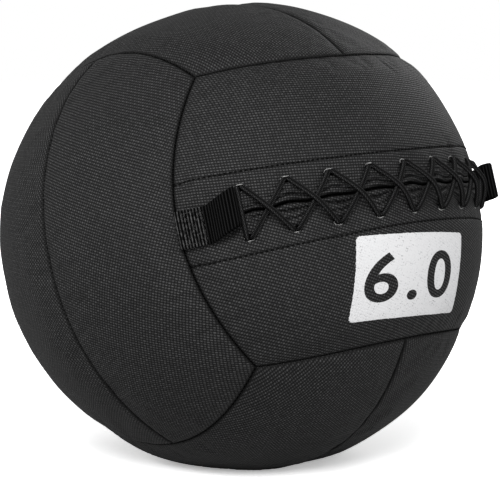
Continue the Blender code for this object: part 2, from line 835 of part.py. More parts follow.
def core_arc(radius, neck):
    """The profile of a round of the ballast bag, from above its lowest point up to its neck."""
    top = math.asin(neck / radius)
    points = []
    for row in range(1, CORE_ROWS + 1):
        angle = (math.pi - top) * row / CORE_ROWS
        points.append((radius * math.sin(angle), CENTRE_HEIGHT - radius * math.cos(angle)))
    return points


def neck_bottom():
    """The height at which the neck of the ballast bag begins."""
    return CENTRE_HEIGHT + math.sqrt(CORE_RADIUS**2 - CORE_NECK_RADIUS**2)


def pocket_profile():
    """The hollow in the filling round the ballast bag: its lower half and its upper half."""
    reach = CORE_RADIUS + CORE_POCKET_GAP
    lower, upper = [], []
    for row in range(CORE_ROWS):
        angle = math.pi / 2 * row / CORE_ROWS
        lower.append((reach * math.cos(angle), -reach * math.sin(angle)))
    lower.append((0, -reach))
    collar = CORE_NECK_RADIUS + CORE_NECK_FLARE + CORE_POCKET_GAP
    top = math.asin(collar / reach)
    for row in range(CORE_ROWS + 1):
        angle = (math.pi / 2 - top) * row / CORE_ROWS
        upper.append((reach * math.cos(angle), reach * math.sin(angle)))
    crest = neck_bottom() - CENTRE_HEIGHT + CORE_NECK_HEIGHT + CORE_POCKET_GAP
    upper += [(collar, crest), (0, crest)]
    return lower, upper


def filling(finish, parent):
    """The two layers of filling, packed below and above the ballast."""
    floor = COVER_THICKNESS + LAYER_GAP + PAD_REST_THICKNESS + LINER_REST_GAP
    floor += LINER_THICKNESS + LAYER_GAP
    radius = BALL_RADIUS - LINER_DEPTH - LINER_THICKNESS - LAYER_GAP
    below, above = globe_profile(radius, floor)
    lower, upper = pocket_profile()
    split = STUFFING_SPLIT_GAP / 2
    bottom = [*below[:-1], (radius, CENTRE_HEIGHT - split)]
    bottom += [(x, CENTRE_HEIGHT - split + z) for x, z in lower]
    top = [*reversed(above[1:]), (radius, CENTRE_HEIGHT + split)]
    top += [(x, CENTRE_HEIGHT + split + z) for x, z in upper]
    lower_filling = mesh_object("lower_filling", turned_mesh(bottom, GLOBE_COLUMNS), finish, parent)
    upper_filling = mesh_object("upper_filling", turned_mesh(top, GLOBE_COLUMNS), finish, parent)
    return lower_filling, upper_filling


def ballast_bag(finish, parent):
    """The small bag in the middle, with a gathered neck that the tie closes."""
    wall, neck = CORE_BAG_THICKNESS, CORE_NECK_RADIUS
    base = neck_bottom()
    outer = [(0, CENTRE_HEIGHT - CORE_RADIUS), *core_arc(CORE_RADIUS, neck)]
    tie_height = base + CORE_NECK_HEIGHT / 2
    outer += [(neck, tie_height - CORE_TIE_RADIUS), (neck, tie_height + CORE_TIE_RADIUS)]
    outer.append((neck + CORE_NECK_FLARE, base + CORE_NECK_HEIGHT))
    inner_radius = CORE_RADIUS - wall
    inner = [(0, CENTRE_HEIGHT - inner_radius), *core_arc(inner_radius, neck - wall)]
    inner += [(neck - wall, tie_height - CORE_TIE_RADIUS), (neck - wall, tie_height + CORE_TIE_RADIUS)]
    inner.append((neck + CORE_NECK_FLARE - wall, base + CORE_NECK_HEIGHT))
    bm = turned_mesh(outer + inner[::-1], GLOBE_COLUMNS)
    return mesh_object("ballast_bag", bm, finish, parent)


def ballast(finish, parent):
    """The heavy filling of the small bag, with the level top that loose shot settles to."""
    radius = CORE_RADIUS - CORE_BAG_THICKNESS - CORE_POCKET_GAP
    profile = [(0, CENTRE_HEIGHT - radius), *core_arc(radius, CORE_NECK_RADIUS - CORE_BAG_THICKNESS)[:-1]]
    profile.append((0, profile[-1][1]))
    return mesh_object("ballast_shot", turned_mesh(profile, GLOBE_COLUMNS), finish, parent)


def ballast_tie(finish, parent):
    """The tie round the neck of the small bag."""
    height = neck_bottom() + CORE_NECK_HEIGHT / 2
    middle = CORE_NECK_RADIUS + LAYER_GAP + CORE_TIE_RADIUS
    bm = bmesh.new()
    rings = []
    for column in range(GLOBE_COLUMNS):
        turn = 2 * math.pi * column / GLOBE_COLUMNS
        ring = []
        for side in range(CORE_TIE_COLUMNS):
            angle = 2 * math.pi * side / CORE_TIE_COLUMNS
            radius = middle + CORE_TIE_RADIUS * math.cos(angle)
            up = height + CORE_TIE_RADIUS * math.sin(angle)
            ring.append(bm.verts.new((radius * math.cos(turn), radius * math.sin(turn), up)))
        rings.append(ring)
    for column in range(GLOBE_COLUMNS):
        wall_faces(bm, rings[column], rings[(column + 1) % GLOBE_COLUMNS])
    return mesh_object("ballast_tie", bm, finish, parent)


def main():
    """Builds the ball."""
    for old in list(bpy.data.objects):
        bpy.data.objects.remove(old, do_unlink=True)
    cover = material("coated_cover", (0.03, 0.03, 0.032), 0.55)
    foam = material("foam", (0.30, 0.30, 0.31), 0.95)
    facing = material("facing", (0.05, 0.05, 0.05), 0.85)
    cord = material("braided_cord", (0.012, 0.012, 0.013), 0.7)
    webbing = material("ribbed_webbing", (0.01, 0.01, 0.011), 0.65)
    liner = material("liner", (0.42, 0.41, 0.38), 0.9)
    fibre = material("fibre", (0.62, 0.60, 0.55), 0.98)
    canvas = material("canvas", (0.35, 0.33, 0.27), 0.9)
    shot = material("shot", (0.16, 0.15, 0.14), 0.6)

    ball = bpy.data.objects.new("ball", None)
    bpy.context.collection.objects.link(ball)

    panels = {}
    for name, (face, half) in PANELS.items():
        panels[name] = cover_panel(name, face, half, cover, ball)
        foam_pad(name, face, half, foam, ball)

    punches = eyelet_cutter(facing)
    strips = [
        facing_strip("upper_facing", (0, 0, 1), facing, ball),
        facing_strip("lower_facing", (0, 0, -1), facing, ball),
    ]
    for pierced in [panels[name] for name in LACED] + strips:
        cut(pierced, punches)
    tongue(facing, ball)
    lacing_cord(cord, ball)

    for side, word, skew in ((-1, "left", LEFT_EYE_SKEW), (1, "right", RIGHT_EYE_SKEW)):
        slot = tab_slot_cutter(word + "_tab_cutter", side, webbing)
        for name in (*LACED, word + "_front"):
            cut(panels[name], slot)
        sewn_tab(word + "_loop_tab", side, webbing, ball)
        loop_eye(word + "_loop", side, skew, webbing, ball)

    cut(inner_bag(liner, ball), bag_slit_cutter(liner))
    filling(fibre, ball)
    ballast_bag(canvas, ball)
    ballast(shot, ball)
    ballast_tie(cord, ball)


main()
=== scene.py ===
"""A laced wall ball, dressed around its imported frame.

The pattern class knows where every place of the sewn cover lies on the settled ball. The other classes
each make one sub-assembly from it: the cover's panels, the closure with its cord, the webbing straps,
the printed patch, and what fills the ball. Lengths are in metres, +Z is up, and the laced face looks
towards -Y.
"""

from __future__ import annotations

import logging
import math
from collections.abc import Callable, Sequence
from dataclasses import dataclass, field
from enum import Enum

import bmesh
import bpy
import numpy as np
from mathutils import Matrix, Vector
from mathutils.bvhtree import BVHTree
from mathutils.geometry import interpolate_bezier

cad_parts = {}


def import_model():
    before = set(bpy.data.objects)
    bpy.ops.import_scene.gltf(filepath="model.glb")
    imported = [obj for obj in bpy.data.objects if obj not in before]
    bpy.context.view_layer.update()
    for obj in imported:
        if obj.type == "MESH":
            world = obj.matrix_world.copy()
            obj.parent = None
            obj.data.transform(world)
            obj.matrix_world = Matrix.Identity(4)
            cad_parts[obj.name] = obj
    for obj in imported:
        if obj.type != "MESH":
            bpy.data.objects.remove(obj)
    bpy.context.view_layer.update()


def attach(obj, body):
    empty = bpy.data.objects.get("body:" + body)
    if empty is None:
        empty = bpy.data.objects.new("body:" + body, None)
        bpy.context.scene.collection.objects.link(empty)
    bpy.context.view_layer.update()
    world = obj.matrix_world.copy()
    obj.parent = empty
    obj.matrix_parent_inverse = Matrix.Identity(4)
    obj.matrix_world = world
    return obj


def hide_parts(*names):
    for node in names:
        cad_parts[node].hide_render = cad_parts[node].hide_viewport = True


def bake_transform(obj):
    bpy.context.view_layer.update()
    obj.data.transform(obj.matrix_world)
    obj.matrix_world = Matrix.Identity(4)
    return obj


LOG = logging.getLogger("wall_ball")
MM = 0.001

# The cloth: its weave, and how each panel is turned on it, in degrees
WEAVE_THREAD = 1.95 * MM
CUT_ANGLES = {"FRONT_UPPER": -6, "FRONT_LOWER": -25, "LEFT_FRONT": 63, "LEFT_REAR": 31, "BOTTOM_LEFT": -28}
USUAL_CUT_ANGLE = 12

# The slack cloth that is blown up under the cover's seams
SWELL_FRAMES = 20
SWELLING = {
    "quality": 6,
    "mass": 0.2,
    "tension_stiffness": 25,
    "compression_stiffness": 25,
    "shear_stiffness": 12,
    "bending_stiffness": 0.4,
    "shrink_min": -0.012,
    "use_pressure": True,
    "uniform_pressure_force": 4,
    "vertex_group_mass": "seams",
}

# Short names of types
Array = np.ndarray
Triple = tuple[float, float, float]
Face = tuple[int, ...]
Route = list[tuple[float, ...]]
Piece = bpy.types.Object
Finish = bpy.types.Material
Socket = bpy.types.NodeSocket


# Material maths


def operator(operation: str) -> Callable[[Value, Value | float], Value]:
    """Makes one of Python's operators out of a Math node's operation."""
    return lambda value, other: value.math(operation, other)


class Value:
    """A number on its way through a material. Python's operators on it add Math nodes."""

    def __init__(self, tree: bpy.types.NodeTree, socket: Socket) -> None:
        """Wraps the socket that gives the number."""
        self.tree = tree
        self.socket = socket

    def math(self, operation: str, *others: Value | float, clamp: bool = False) -> Value:
        """Adds one Math node.

        Args:
            operation: the Math node's operation.
            others: the second and third operand, where the operation has them.
            clamp: whether the result is held between 0 and 1.

        Returns:
            The node's result.
        """
        node = self.tree.nodes.new("ShaderNodeMath")
        node.operation = operation
        node.use_clamp = clamp
        for slot, operand in zip(node.inputs, (self, *others)):
            if isinstance(operand, Value):
                self.tree.links.new(operand.socket, slot)
            else:
                slot.default_value = operand
        return Value(self.tree, node.outputs[0])

    __add__ = __radd__ = operator("ADD")
    __sub__ = operator("SUBTRACT")
    __mul__ = __rmul__ = operator("MULTIPLY")
    __truediv__ = operator("DIVIDE")
    __pow__ = operator("POWER")

    def __rsub__(self, other: float) -> Value:
        """Subtracts this from a number."""
        node = self.tree.nodes.new("ShaderNodeValue")
        node.outputs[0].default_value = other
        return Value(self.tree, node.outputs[0]) - self

    def wave(self) -> Value:
        """Gives the height of a half wave that repeats at every whole number."""
        return (self * math.pi).math("SINE").math("ABSOLUTE")

    def floor(self) -> Value:
        """Rounds down."""
        return self.math("FLOOR")

    def held(self) -> Value:
        """Holds the number between 0 and 1."""
        return self.math("ADD", 0.0, clamp=True)


class Paint:
    """One material in the making: its node tree, and the nodes that finishes share."""

    def __init__(self, name: str) -> None:
        """Starts a material with a Principled shader."""
        self.material = bpy.data.materials.new(name)
        self.material.use_nodes = True
        self.tree = self.material.node_tree
        self.shader = self.tree.nodes["Principled BSDF"]

    def node(self, kind: str, settings: dict | None = None, **sockets: object) -> bpy.types.Node:
        """Adds any node.

        Args:
            kind: the node's type.
            settings: its own settings, which are set first.
            sockets: values or links of its inputs, with underscores for the spaces in their names.

        Returns:
            The node.
        """
        node = self.tree.nodes.new(kind)
        for setting, value in (settings or {}).items():
            setattr(node, setting, value)
        for name, value in sockets.items():
            self.feed(node.inputs[name.replace("_", " ")], value)
        return node

    def feed(self, slot: Socket, value: object) -> None:
        """Links a value or a socket to an input, or sets the input to a constant."""
        if isinstance(value, Value):
            self.tree.links.new(value.socket, slot)
        elif isinstance(value, Socket):
            self.tree.links.new(value, slot)
        else:
            slot.default_value = value

    def value(self, socket: Socket) -> Value:
        """Takes a socket as a number."""
        return Value(self.tree, socket)

    def attribute(self, name: str) -> Value:
        """Reads a number that the mesh carries."""
        return self.value(self.node("ShaderNodeAttribute", {"attribute_name": name}).outputs["Fac"])

    def cloth_place(self) -> tuple[Value, Value]:
        """Reads the place along and across the piece's own cloth, in metres."""
        read = self.node("ShaderNodeUVMap", {"uv_map": "cloth"}).outputs[0]
        parts = self.node("ShaderNodeSeparateXYZ", Vector=read)
        return self.value(parts.outputs[0]), self.value(parts.outputs[1])

    def object_place(self) -> Socket:
        """Reads the place on the piece in space."""
        return self.node("ShaderNodeTexCoord").outputs["Object"]

    def noise(self, scale: float, detail: float = 2.0, at: object = None) -> Value:
        """Gives a soft noise between 0 and 1."""
        place = self.object_place() if at is None else at
        made = self.node("ShaderNodeTexNoise", Vector=place, Scale=scale, Detail=detail)
        return self.value(made.outputs[0])

    def cells(self, along: Value, across: Value) -> Value:
        """Gives one random number to each whole cell."""
        joined = self.node("ShaderNodeCombineXYZ", X=along.floor(), Y=across.floor())
        chance = self.node("ShaderNodeTexWhiteNoise", {"noise_dimensions": "2D"}, Vector=joined.outputs[0])
        return self.value(chance.outputs[0])

    def woven(self) -> tuple[Value, Value]:
        """Gives the height of the cover's basket weave, and one random number for each crossing."""
        along, across = (place / WEAVE_THREAD for place in self.cloth_place())
        return basket(along, across), self.cells(along, across)

    def mix(self, factor: Value | float, low: object, high: object) -> Socket:
        """Mixes two colours."""
        node = self.node("ShaderNodeMix", {"data_type": "RGBA"})
        for slot, value in ((0, factor), (6, low), (7, high)):
            colour = (*value, 1.0) if isinstance(value, tuple) else value
            self.feed(node.inputs[slot], colour)
        return node.outputs[2]

    def bump(self, height: Value, depth: float, below: object = None) -> Socket:
        """Turns a height between 0 and 1 into a normal.

        Args:
            height: the height.
            depth: what a height of 1 measures, in metres.
            below: another normal that this one adds to.

        Returns:
            The normal.
        """
        node = self.node("ShaderNodeBump", Height=height, Distance=depth)
        if below is not None:
            self.feed(node.inputs["Normal"], below)
        return node.outputs[0]

    def finish(self, colour: object, roughness: object, normal: object = None, **fixed: float) -> Finish:
        """Feeds the shader and hands over the material."""
        self.feed(self.shader.inputs["Base Color"], (*colour, 1.0) if isinstance(colour, tuple) else colour)
        self.feed(self.shader.inputs["Roughness"], roughness)
        if normal is not None:
            self.feed(self.shader.inputs["Normal"], normal)
        for name, number in fixed.items():
            self.shader.inputs[name.replace("_", " ")].default_value = number
        return self.material


def basket(along: Value, across: Value) -> Value:
    """The height of a basket weave, where every other cell lies the other way.

    Args:
        along: the place along the cloth, counted in threads.
        across: the place across it, counted in threads.

    Returns:
        A height between 0 in the gaps and 1 on the threads.
    """
    odd = ((along.floor() + across.floor()) * 0.5).math("FRACT") * 2.0
    warp, weft = along.wave() ** (0.8 - odd * 0.45), across.wave() ** (odd * 0.5 + 0.8)
    return warp * weft * (odd * 0.14 + 0.86)


# Finishes


@dataclass(frozen=True)
class CoatedCloth:
    """The cover's coated cloth, embossed with a basket weave, with painted shade in the weave's gaps and the
    cover's grooves and painted glints on the threads.
    """

    name: str = "coated_cover"
    painted_gap_shade: Triple = (0.0026, 0.0026, 0.0027)
    top_colour: Triple = (0.038, 0.038, 0.039)
    glint_colour: Triple = (0.115, 0.115, 0.115)
    groove_shade_colour: Triple = (0.0012, 0.0012, 0.0012)
    groove_shade_width: float = 2.4 * MM
    groove_shade_fade: float = 1.2 * MM
    relief: float = 0.36 * MM
    roughness: float = 0.68
    specular: float = 0.22

    def make(self) -> Finish:
        """Makes the material."""
        paint = Paint(self.name)
        weave, chance = paint.woven()
        drift, fine = paint.noise(22.0, 3.0), paint.noise(900.0)
        # Painted shade and highlight: the weave's gaps go near black as shade in the hollows between threads,
        # the thread tops keep the cloth's charcoal, and a painted glint lightens the tops, more on some
        # crossings than others.
        tone = weave**1.8 * (drift * 0.7 + 0.6) * (chance * 0.4 + 0.78)
        colour = paint.mix(tone.held(), self.painted_gap_shade, self.top_colour)
        glint = weave**3.5 * (chance * 0.5 + 0.2)
        colour = paint.mix(glint.held(), colour, self.glint_colour)
        # Painted shade in the seams' valleys, the lips' creases, the slit and the sewn rows' grooves, from
        # the distance that the mesh carries as seam.
        painted_groove_shade = ((self.groove_shade_width - paint.attribute("seam")) / self.groove_shade_fade).held()
        colour = paint.mix(painted_groove_shade * 0.9, colour, self.groove_shade_colour)
        normal = paint.bump(weave * 0.9 + fine * 0.1, self.relief)
        return paint.finish(colour, self.roughness - weave * 0.2, normal, Specular_IOR_Level=self.specular)


@dataclass(frozen=True)
class PrintedInk:
    """White ink on the woven cover, with pits where the weave shows through."""

    name: str = "patch_ink"
    fresh_colour: Triple = (0.81, 0.81, 0.82)
    worn_colour: Triple = (0.25, 0.25, 0.26)
    relief: float = 0.12 * MM
    roughness: float = 0.62
    specular: float = 0.3

    def make(self) -> Finish:
        """Makes the material."""
        paint = Paint(self.name)
        weave, chance = paint.woven()
        patchy = ((paint.noise(700.0, 1.0) - 0.5) * 9.0).held()
        pits = ((0.5 - weave) * 2.5).held() * ((chance - 0.45) * 2.5).held() * patchy
        worn = ((paint.noise(1500.0, 1.0) - 0.68) * 8.0).held()
        colour = paint.mix((pits * 0.7 + worn * 0.5).held(), self.fresh_colour, self.worn_colour)
        normal = paint.bump(weave, self.relief)
        return paint.finish(colour, self.roughness, normal, Specular_IOR_Level=self.specular)


@dataclass(frozen=True)
class BraidedCord:
    """A round braid: two families of strands that wind opposite ways, with painted highlight lines along it.
    """

    name: str = "braided_cord"
    strands: float = 8.0
    highlight_lines: float = 4.0
    pitch: float = 2.3 * MM
    low_colour: Triple = (0.0008, 0.0008, 0.0008)
    high_colour: Triple = (0.068, 0.068, 0.069)
    relief: float = 0.4 * MM
    roughness: float = 0.8
    specular: float = 0.06

    def make(self) -> Finish:
        """Makes the material. The cloth map runs once round the cord and along it in metres."""
        paint = Paint(self.name)
        around, along = paint.cloth_place()
        turn, run = around * self.strands, along / self.pitch
        braid = basket(turn + run, turn - run)
        # Painted highlight: four light lines run along the cord, broken by the strands, and the rest stays
        # near black.
        painted_highlight = (around * self.highlight_lines).wave() ** 3.0
        colour = paint.mix((braid * (painted_highlight * 0.85 + 0.15)).held(), self.low_colour, self.high_colour)
        normal = paint.bump(braid, self.relief)
        return paint.finish(colour, self.roughness - braid * 0.2, normal, Specular_IOR_Level=self.specular)


@dataclass(frozen=True)
class RibbedWebbing:
    """Webbing whose ribs run across it; the mesh has the ribs, and this adds the yarns and a painted
    highlight on the rib crests.
    """

    name: str = "ribbed_webbing"
    yarn: float = 0.85 * MM
    low_colour: Triple = (0.0001, 0.0001, 0.0001)
    high_colour: Triple = (0.021, 0.021, 0.0215)
    worn_colour: Triple = (0.21, 0.21, 0.21)
    relief: float = 0.12 * MM
    roughness: float = 0.85
    specular: float = 0.035

    def make(self) -> Finish:
        """Makes the material. The upper face of the sewn stretch is paler on its rib crests, in patches."""
        paint = Paint(self.name)
        along, across = paint.cloth_place()
        rib = paint.attribute("rib")
        yarn = (across / self.yarn + paint.noise(160.0) * 0.6).wave()
        # Painted highlight on the rib crests, brightest where the yarns cross them.
        high = (rib**3.0 * (yarn * 0.6 + 0.3) + paint.noise(1800.0) * 0.04).held()
        colour = paint.mix(high, self.low_colour, self.high_colour)
        # The upper face of the sewn stretch turns pale on the rib crests, in patches.
        patchy = ((paint.noise(420.0) - 0.36) * 3.4).held()
        worn = (high**1.3 * paint.attribute("worn") * patchy).held()
        colour = paint.mix(worn, colour, self.worn_colour)
        twist = ((along + across) / (self.yarn * 0.7)).wave()
        normal = paint.bump(yarn * 0.7 + twist * 0.3, self.relief)
        return paint.finish(colour, self.roughness - rib * 0.2, normal, Specular_IOR_Level=self.specular)


@dataclass(frozen=True)
class SewingThread:
    """Twisted sewing thread."""

    name: str
    colour: Triple

    def make(self) -> Finish:
        """Makes the material."""
        paint = Paint(self.name)
        twist = paint.noise(2600.0, 1.0)
        colour = paint.mix(twist, tuple(part * 0.45 for part in self.colour), self.colour)
        return paint.finish(colour, 0.7, paint.bump(twist, 0.1 * MM), Specular_IOR_Level=0.1)


@dataclass(frozen=True)
class PlainStuff:
    """A plain cloth, foam or fibre: two tones, one grain and its relief."""

    name: str
    low_colour: Triple
    high_colour: Triple
    grain: float
    relief: float
    roughness: float = 0.9

    def make(self) -> Finish:
        """Makes the material."""
        paint = Paint(self.name)
        grain = paint.noise(self.grain, 4.0)
        broad = paint.noise(self.grain / 12, 2.0)
        tone = ((grain - 0.5) * 1.6 + broad).held()
        colour = paint.mix(tone, self.low_colour, self.high_colour)
        return paint.finish(colour, self.roughness, paint.bump(grain, self.relief))


@dataclass(frozen=True)
class LooseShot:
    """Fine round shot."""

    name: str = "shot"
    grain: float = 420.0

    def make(self) -> Finish:
        """Makes the material."""
        paint = Paint(self.name)
        cell = paint.node("ShaderNodeTexVoronoi", Vector=paint.object_place(), Scale=self.grain)
        # Painted shade between the grains and a painted highlight on their tops.
        dome = (1.0 - paint.value(cell.outputs["Distance"]) * 1.3).held()
        colour = paint.mix(dome, (0.02, 0.02, 0.02), (0.20, 0.19, 0.18))
        return paint.finish(colour, 0.45, paint.bump(dome, 1.0 * MM), Metallic=0.8)


# The sewn pattern


@dataclass(frozen=True)
class Slump:
    """A broad place where the soft ball lies lower or higher than a true round."""

    towards: Triple
    rise: float
    spread: float


@dataclass(frozen=True)
class Pattern:
    """The twelve panels of the cover and how the ball lies."""

    radius: float = 175 * MM
    settled_share: float = 0.975
    rest_flat_radius: float = 50 * MM
    lean_back: float = math.radians(15)
    roll: float = math.radians(2.2)
    bow_share: float = 0.166
    eyelet_pairs: int = 9
    eyelet_pitch: float = 30.5 * MM
    eyelet_offset: float = 16.5 * MM
    slumps: tuple[Slump, ...] = (
        Slump((-0.28, 0.20, 0.95), -5.0 * MM, 0.5),
        Slump((0.22, -0.50, -0.85), 2.6 * MM, 0.5),
        Slump((0.48, -0.52, 0.72), 1.8 * MM, 0.3),
    )

    @property
    def centre_height(self) -> float:
        """How high the middle of the ball lies."""
        return self.settled_share * math.sqrt(self.radius**2 - self.rest_flat_radius**2)

    @property
    def centre(self) -> Vector:
        """The middle of the ball."""
        return Vector((0, 0, self.centre_height))

    @property
    def half_along(self) -> float:
        """Half the angle that a dividing line covers."""
        return math.pi / 4 + math.asin(self.bow_share)

    @property
    def half_across(self) -> float:
        """The angle from a dividing line to the middle of a panel's long seam."""
        return math.pi / 4 - math.asin(self.bow_share)

    @property
    def eyelet_steps(self) -> int:
        """How many pairs of eyelets lie on each side of the middle one."""
        return (self.eyelet_pairs - 1) // 2

    def run(self, u: Array | float) -> Array | float:
        """Gives the distance along the slit from its middle."""
        return u * self.radius * self.half_along

    def seam(self, share: Array) -> tuple[Array, Array, Array]:
        """Gives a seam between two faces: the distances along it, off its cube edge and outwards."""
        along = share / math.sqrt(3)
        off = -self.bow_share * (1 - share**2)
        return along, off, np.sqrt(1 - along**2 - off**2)

    def division(self, u: Array) -> Array:
        """Gives the line that divides the front face."""
        return np.stack([np.sin(u * self.half_along), -np.cos(u * self.half_along), 0 * u], -1)

    def long_seam(self, u: Array) -> Array:
        """Gives the seam on the front upper panel's long side."""
        along, off, out = self.seam(u)
        return np.stack([along, (off - out) / math.sqrt(2), (off + out) / math.sqrt(2)], -1)

    def end_seam(self, side: int, v: Array) -> Array:
        """Gives the seam at one end of the front upper panel, where side is -1 or 1."""
        along, off, out = self.seam(v)
        return np.stack([side * (out - off) / math.sqrt(2), -(off + out) / math.sqrt(2), along], -1)

    def directions(self, u: Array, v: Array) -> Array:
        """Gives unit directions on the front upper panel.

        Args:
            u: places along the panel, from -1 to 1.
            v: places across it, from 0 on the dividing line to 1.

        Returns:
            One direction for each place, along the last axis.
        """
        right, rise = ((u + 1) / 2)[..., None], v[..., None]
        one = np.ones_like(u)
        sides = self.division(u) * (1 - rise) + self.long_seam(u) * rise
        ends = self.end_seam(-1, v) * (1 - right) + self.end_seam(1, v) * right
        near = self.division(-one) * (1 - right) + self.division(one) * right
        far = self.long_seam(-one) * (1 - right) + self.long_seam(one) * right
        blended = sides + ends - near * (1 - rise) - far * rise
        return blended / np.linalg.norm(blended, axis=-1, keepdims=True)

    def scales(self, u: Array, v: Array) -> tuple[Array, Array]:
        """Gives the lengths that one step of u and one step of v cover at those places."""
        step = 0.01
        low_u, low_v = np.minimum(u, 1 - step), np.minimum(v, 1 - step)
        here = self.directions(low_u, low_v)
        along = np.linalg.norm(self.directions(low_u + step, low_v) - here, axis=-1) / step
        across = np.linalg.norm(self.directions(low_u, low_v + step) - here, axis=-1) / step
        return self.radius * along, self.radius * across

    @property
    def lie(self) -> Matrix:
        """The turn from the pattern's own axes to how the ball lies."""
        return Matrix.Rotation(-self.lean_back, 3, "X") @ Matrix.Rotation(-self.roll, 3, "Y")

    def settle(self, places: Array, floor: Array | float = 0.0) -> Array:
        """Lays points, given round the ball's middle in the pattern's axes, on the settled ball.

        Args:
            places: the points, along the last axis.
            floor: the height that each keeps where the ball rests.

        Returns:
            The points in the world.
        """
        turned = places @ np.array(self.lie).T
        turned[..., 2] *= self.settled_share
        turned[..., 2] += self.centre_height
        slumped = self.slumped(turned)
        slumped[..., 2] = np.maximum(slumped[..., 2], floor)
        return slumped

    def slumped(self, points: Array) -> Array:
        """Moves points of the world out or in where the ball has slumped."""
        middle = np.array(self.centre)
        reach = np.linalg.norm(points - middle, axis=-1, keepdims=True)
        heading = (points - middle) / reach
        share = np.zeros_like(reach)
        for slump in self.slumps:
            towards = np.array(slump.towards) / np.linalg.norm(slump.towards)
            angle = np.arccos(np.clip(heading @ towards, -1, 1))[..., None]
            share += slump.rise / self.radius * np.exp(-((angle / slump.spread) ** 2))
        return points + heading * reach * share

    def closure_point(self, along: float, across: float, height: float) -> Vector:
        """Gives a place on the laced face: distances along and across the slit, and above the crown."""
        turn, rise = along / self.radius, across / self.radius
        level = math.cos(rise)
        place = np.array([math.sin(turn) * level, -math.cos(turn) * level, math.sin(rise)])
        return Vector(self.settle(place * (self.radius + height)))

    def closure_axes(self, along: float, across: float, height: float) -> Matrix:
        """Gives the directions along the slit, across it and outwards there, as columns."""
        step, at = 3 * MM, self.closure_point
        ahead = at(along + step, across, height) - at(along - step, across, height)
        up = at(along, across + step, height) - at(along, across - step, height)
        ahead.normalize()
        out = ahead.cross(up).normalized()
        return Matrix((ahead, out.cross(ahead), out)).transposed()


def panel_turn(face: Sequence[int], half: Sequence[int]) -> Array:
    """Gives the turn that takes the front upper panel to another place on the ball."""
    inwards, up = -Vector(face), Vector(half)
    return np.array(Matrix((inwards.cross(up), inwards, up)).transposed())


class Panel(Enum):
    """Each panel's name on the ball, with the directions that its face and its half look in."""

    FRONT_UPPER = ((0, -1, 0), (0, 0, 1))
    FRONT_LOWER = ((0, -1, 0), (0, 0, -1))
    BACK_UPPER = ((0, 1, 0), (0, 0, 1))
    BACK_LOWER = ((0, 1, 0), (0, 0, -1))
    LEFT_FRONT = ((-1, 0, 0), (0, -1, 0))
    LEFT_REAR = ((-1, 0, 0), (0, 1, 0))
    RIGHT_FRONT = ((1, 0, 0), (0, -1, 0))
    RIGHT_REAR = ((1, 0, 0), (0, 1, 0))
    TOP_LEFT = ((0, 0, 1), (-1, 0, 0))
    TOP_RIGHT = ((0, 0, 1), (1, 0, 0))
    BOTTOM_LEFT = ((0, 0, -1), (-1, 0, 0))
    BOTTOM_RIGHT = ((0, 0, -1), (1, 0, 0))

    @property
    def laced(self) -> bool:
        """Whether the panel is one of the two that the cord laces together."""
        return self in (Panel.FRONT_UPPER, Panel.FRONT_LOWER)

    @property
    def turn(self) -> Array:
        """The turn from the front upper panel's place to this one."""
        return panel_turn(*self.value)

    @property
    def node(self) -> str:
        """The start of the panel's node names."""
        return self.name.lower()

    def woven(self, along: Array, across: Array) -> Array:
        """Gives places of the panel on its own threads, as it was cut from the cloth."""
        grain = math.radians(CUT_ANGLES.get(self.name, USUAL_CUT_ANGLE))
        warp = along * math.cos(grain) + across * math.sin(grain)
        weft = across * math.cos(grain) - along * math.sin(grain)
        return np.stack([warp, weft], -1)


# Making pieces


def linked(name: str, data: bpy.types.ID) -> Piece:
    """Makes an object of its data and links it into the scene."""
    made = bpy.data.objects.new(name, data)
    bpy.context.scene.collection.objects.link(made)
    return made


def smoothed(mesh: bpy.types.Mesh) -> bpy.types.Mesh:
    """Shades every face of a mesh smooth."""
    mesh.polygons.foreach_set("use_smooth", [True] * len(mesh.polygons))
    return mesh


def mesh_piece(name: str, points: Array | list[Vector], faces: Sequence[Face], material: Finish) -> Piece:
    """Makes an object from points and faces, smooth, with its place in its mesh.

    Args:
        name: the piece's name.
        points: its vertices.
        faces: the vertices of each face, which turns outwards.
        material: its finish.

    Returns:
        The object, linked into the scene.
    """
    mesh = bpy.data.meshes.new(name)
    mesh.from_pydata([tuple(point) for point in points], [], faces)
    mesh.materials.append(material)
    return linked(name, smoothed(mesh))


def point_values(piece: Piece, name: str, values: Array) -> None:
    """Stores one number for each vertex."""
    layer = piece.data.attributes.new(name, "FLOAT", "POINT")
    layer.data.foreach_set("value", np.asarray(values, np.float32).ravel())


def cloth_map(piece: Piece, places: Array) -> None:
    """Stores the cloth map, given as one place for each vertex."""
    corners = np.empty(len(piece.data.loops), np.int32)
    piece.data.loops.foreach_get("vertex_index", corners)
    layer = piece.data.uv_layers.new(name="cloth")
    layer.data.foreach_set("uv", np.asarray(places, np.float32).reshape(-1, 2)[corners].ravel())


def settled_mesh(piece: Piece) -> Piece:
    """Applies every modifier and hands over the piece with its final mesh."""
    graph = bpy.context.evaluated_depsgraph_get()
    shown = piece.evaluated_get(graph)
    final = bpy.data.meshes.new_from_object(shown, preserve_all_data_layers=True, depsgraph=graph)
    if piece.type == "MESH":
        old = piece.data
        piece.modifiers.clear()
        piece.data = final
        bpy.data.meshes.remove(old)
        return piece
    name = piece.name
    bpy.data.objects.remove(piece)
    final.name = name
    return linked(name, final)


def place_piece(piece: Piece, body: str, slot: str, *nodes: str) -> Piece:
    """Lets a piece ride on a body, and hides the nodes that it stands for."""
    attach(piece, body)
    if nodes:
        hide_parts(*nodes)
    LOG.info("%s: %d vertices on %s", piece.name, len(piece.data.vertices), body)
    return piece


def spread(step: float, length: float, first: Sequence[float]) -> list[float]:
    """Gives distances from one edge to the middle of a length: some close to the edge, then even steps."""
    distances = list(first)
    while distances[-1] + step < length:
        distances.append(distances[-1] + step)
    return distances


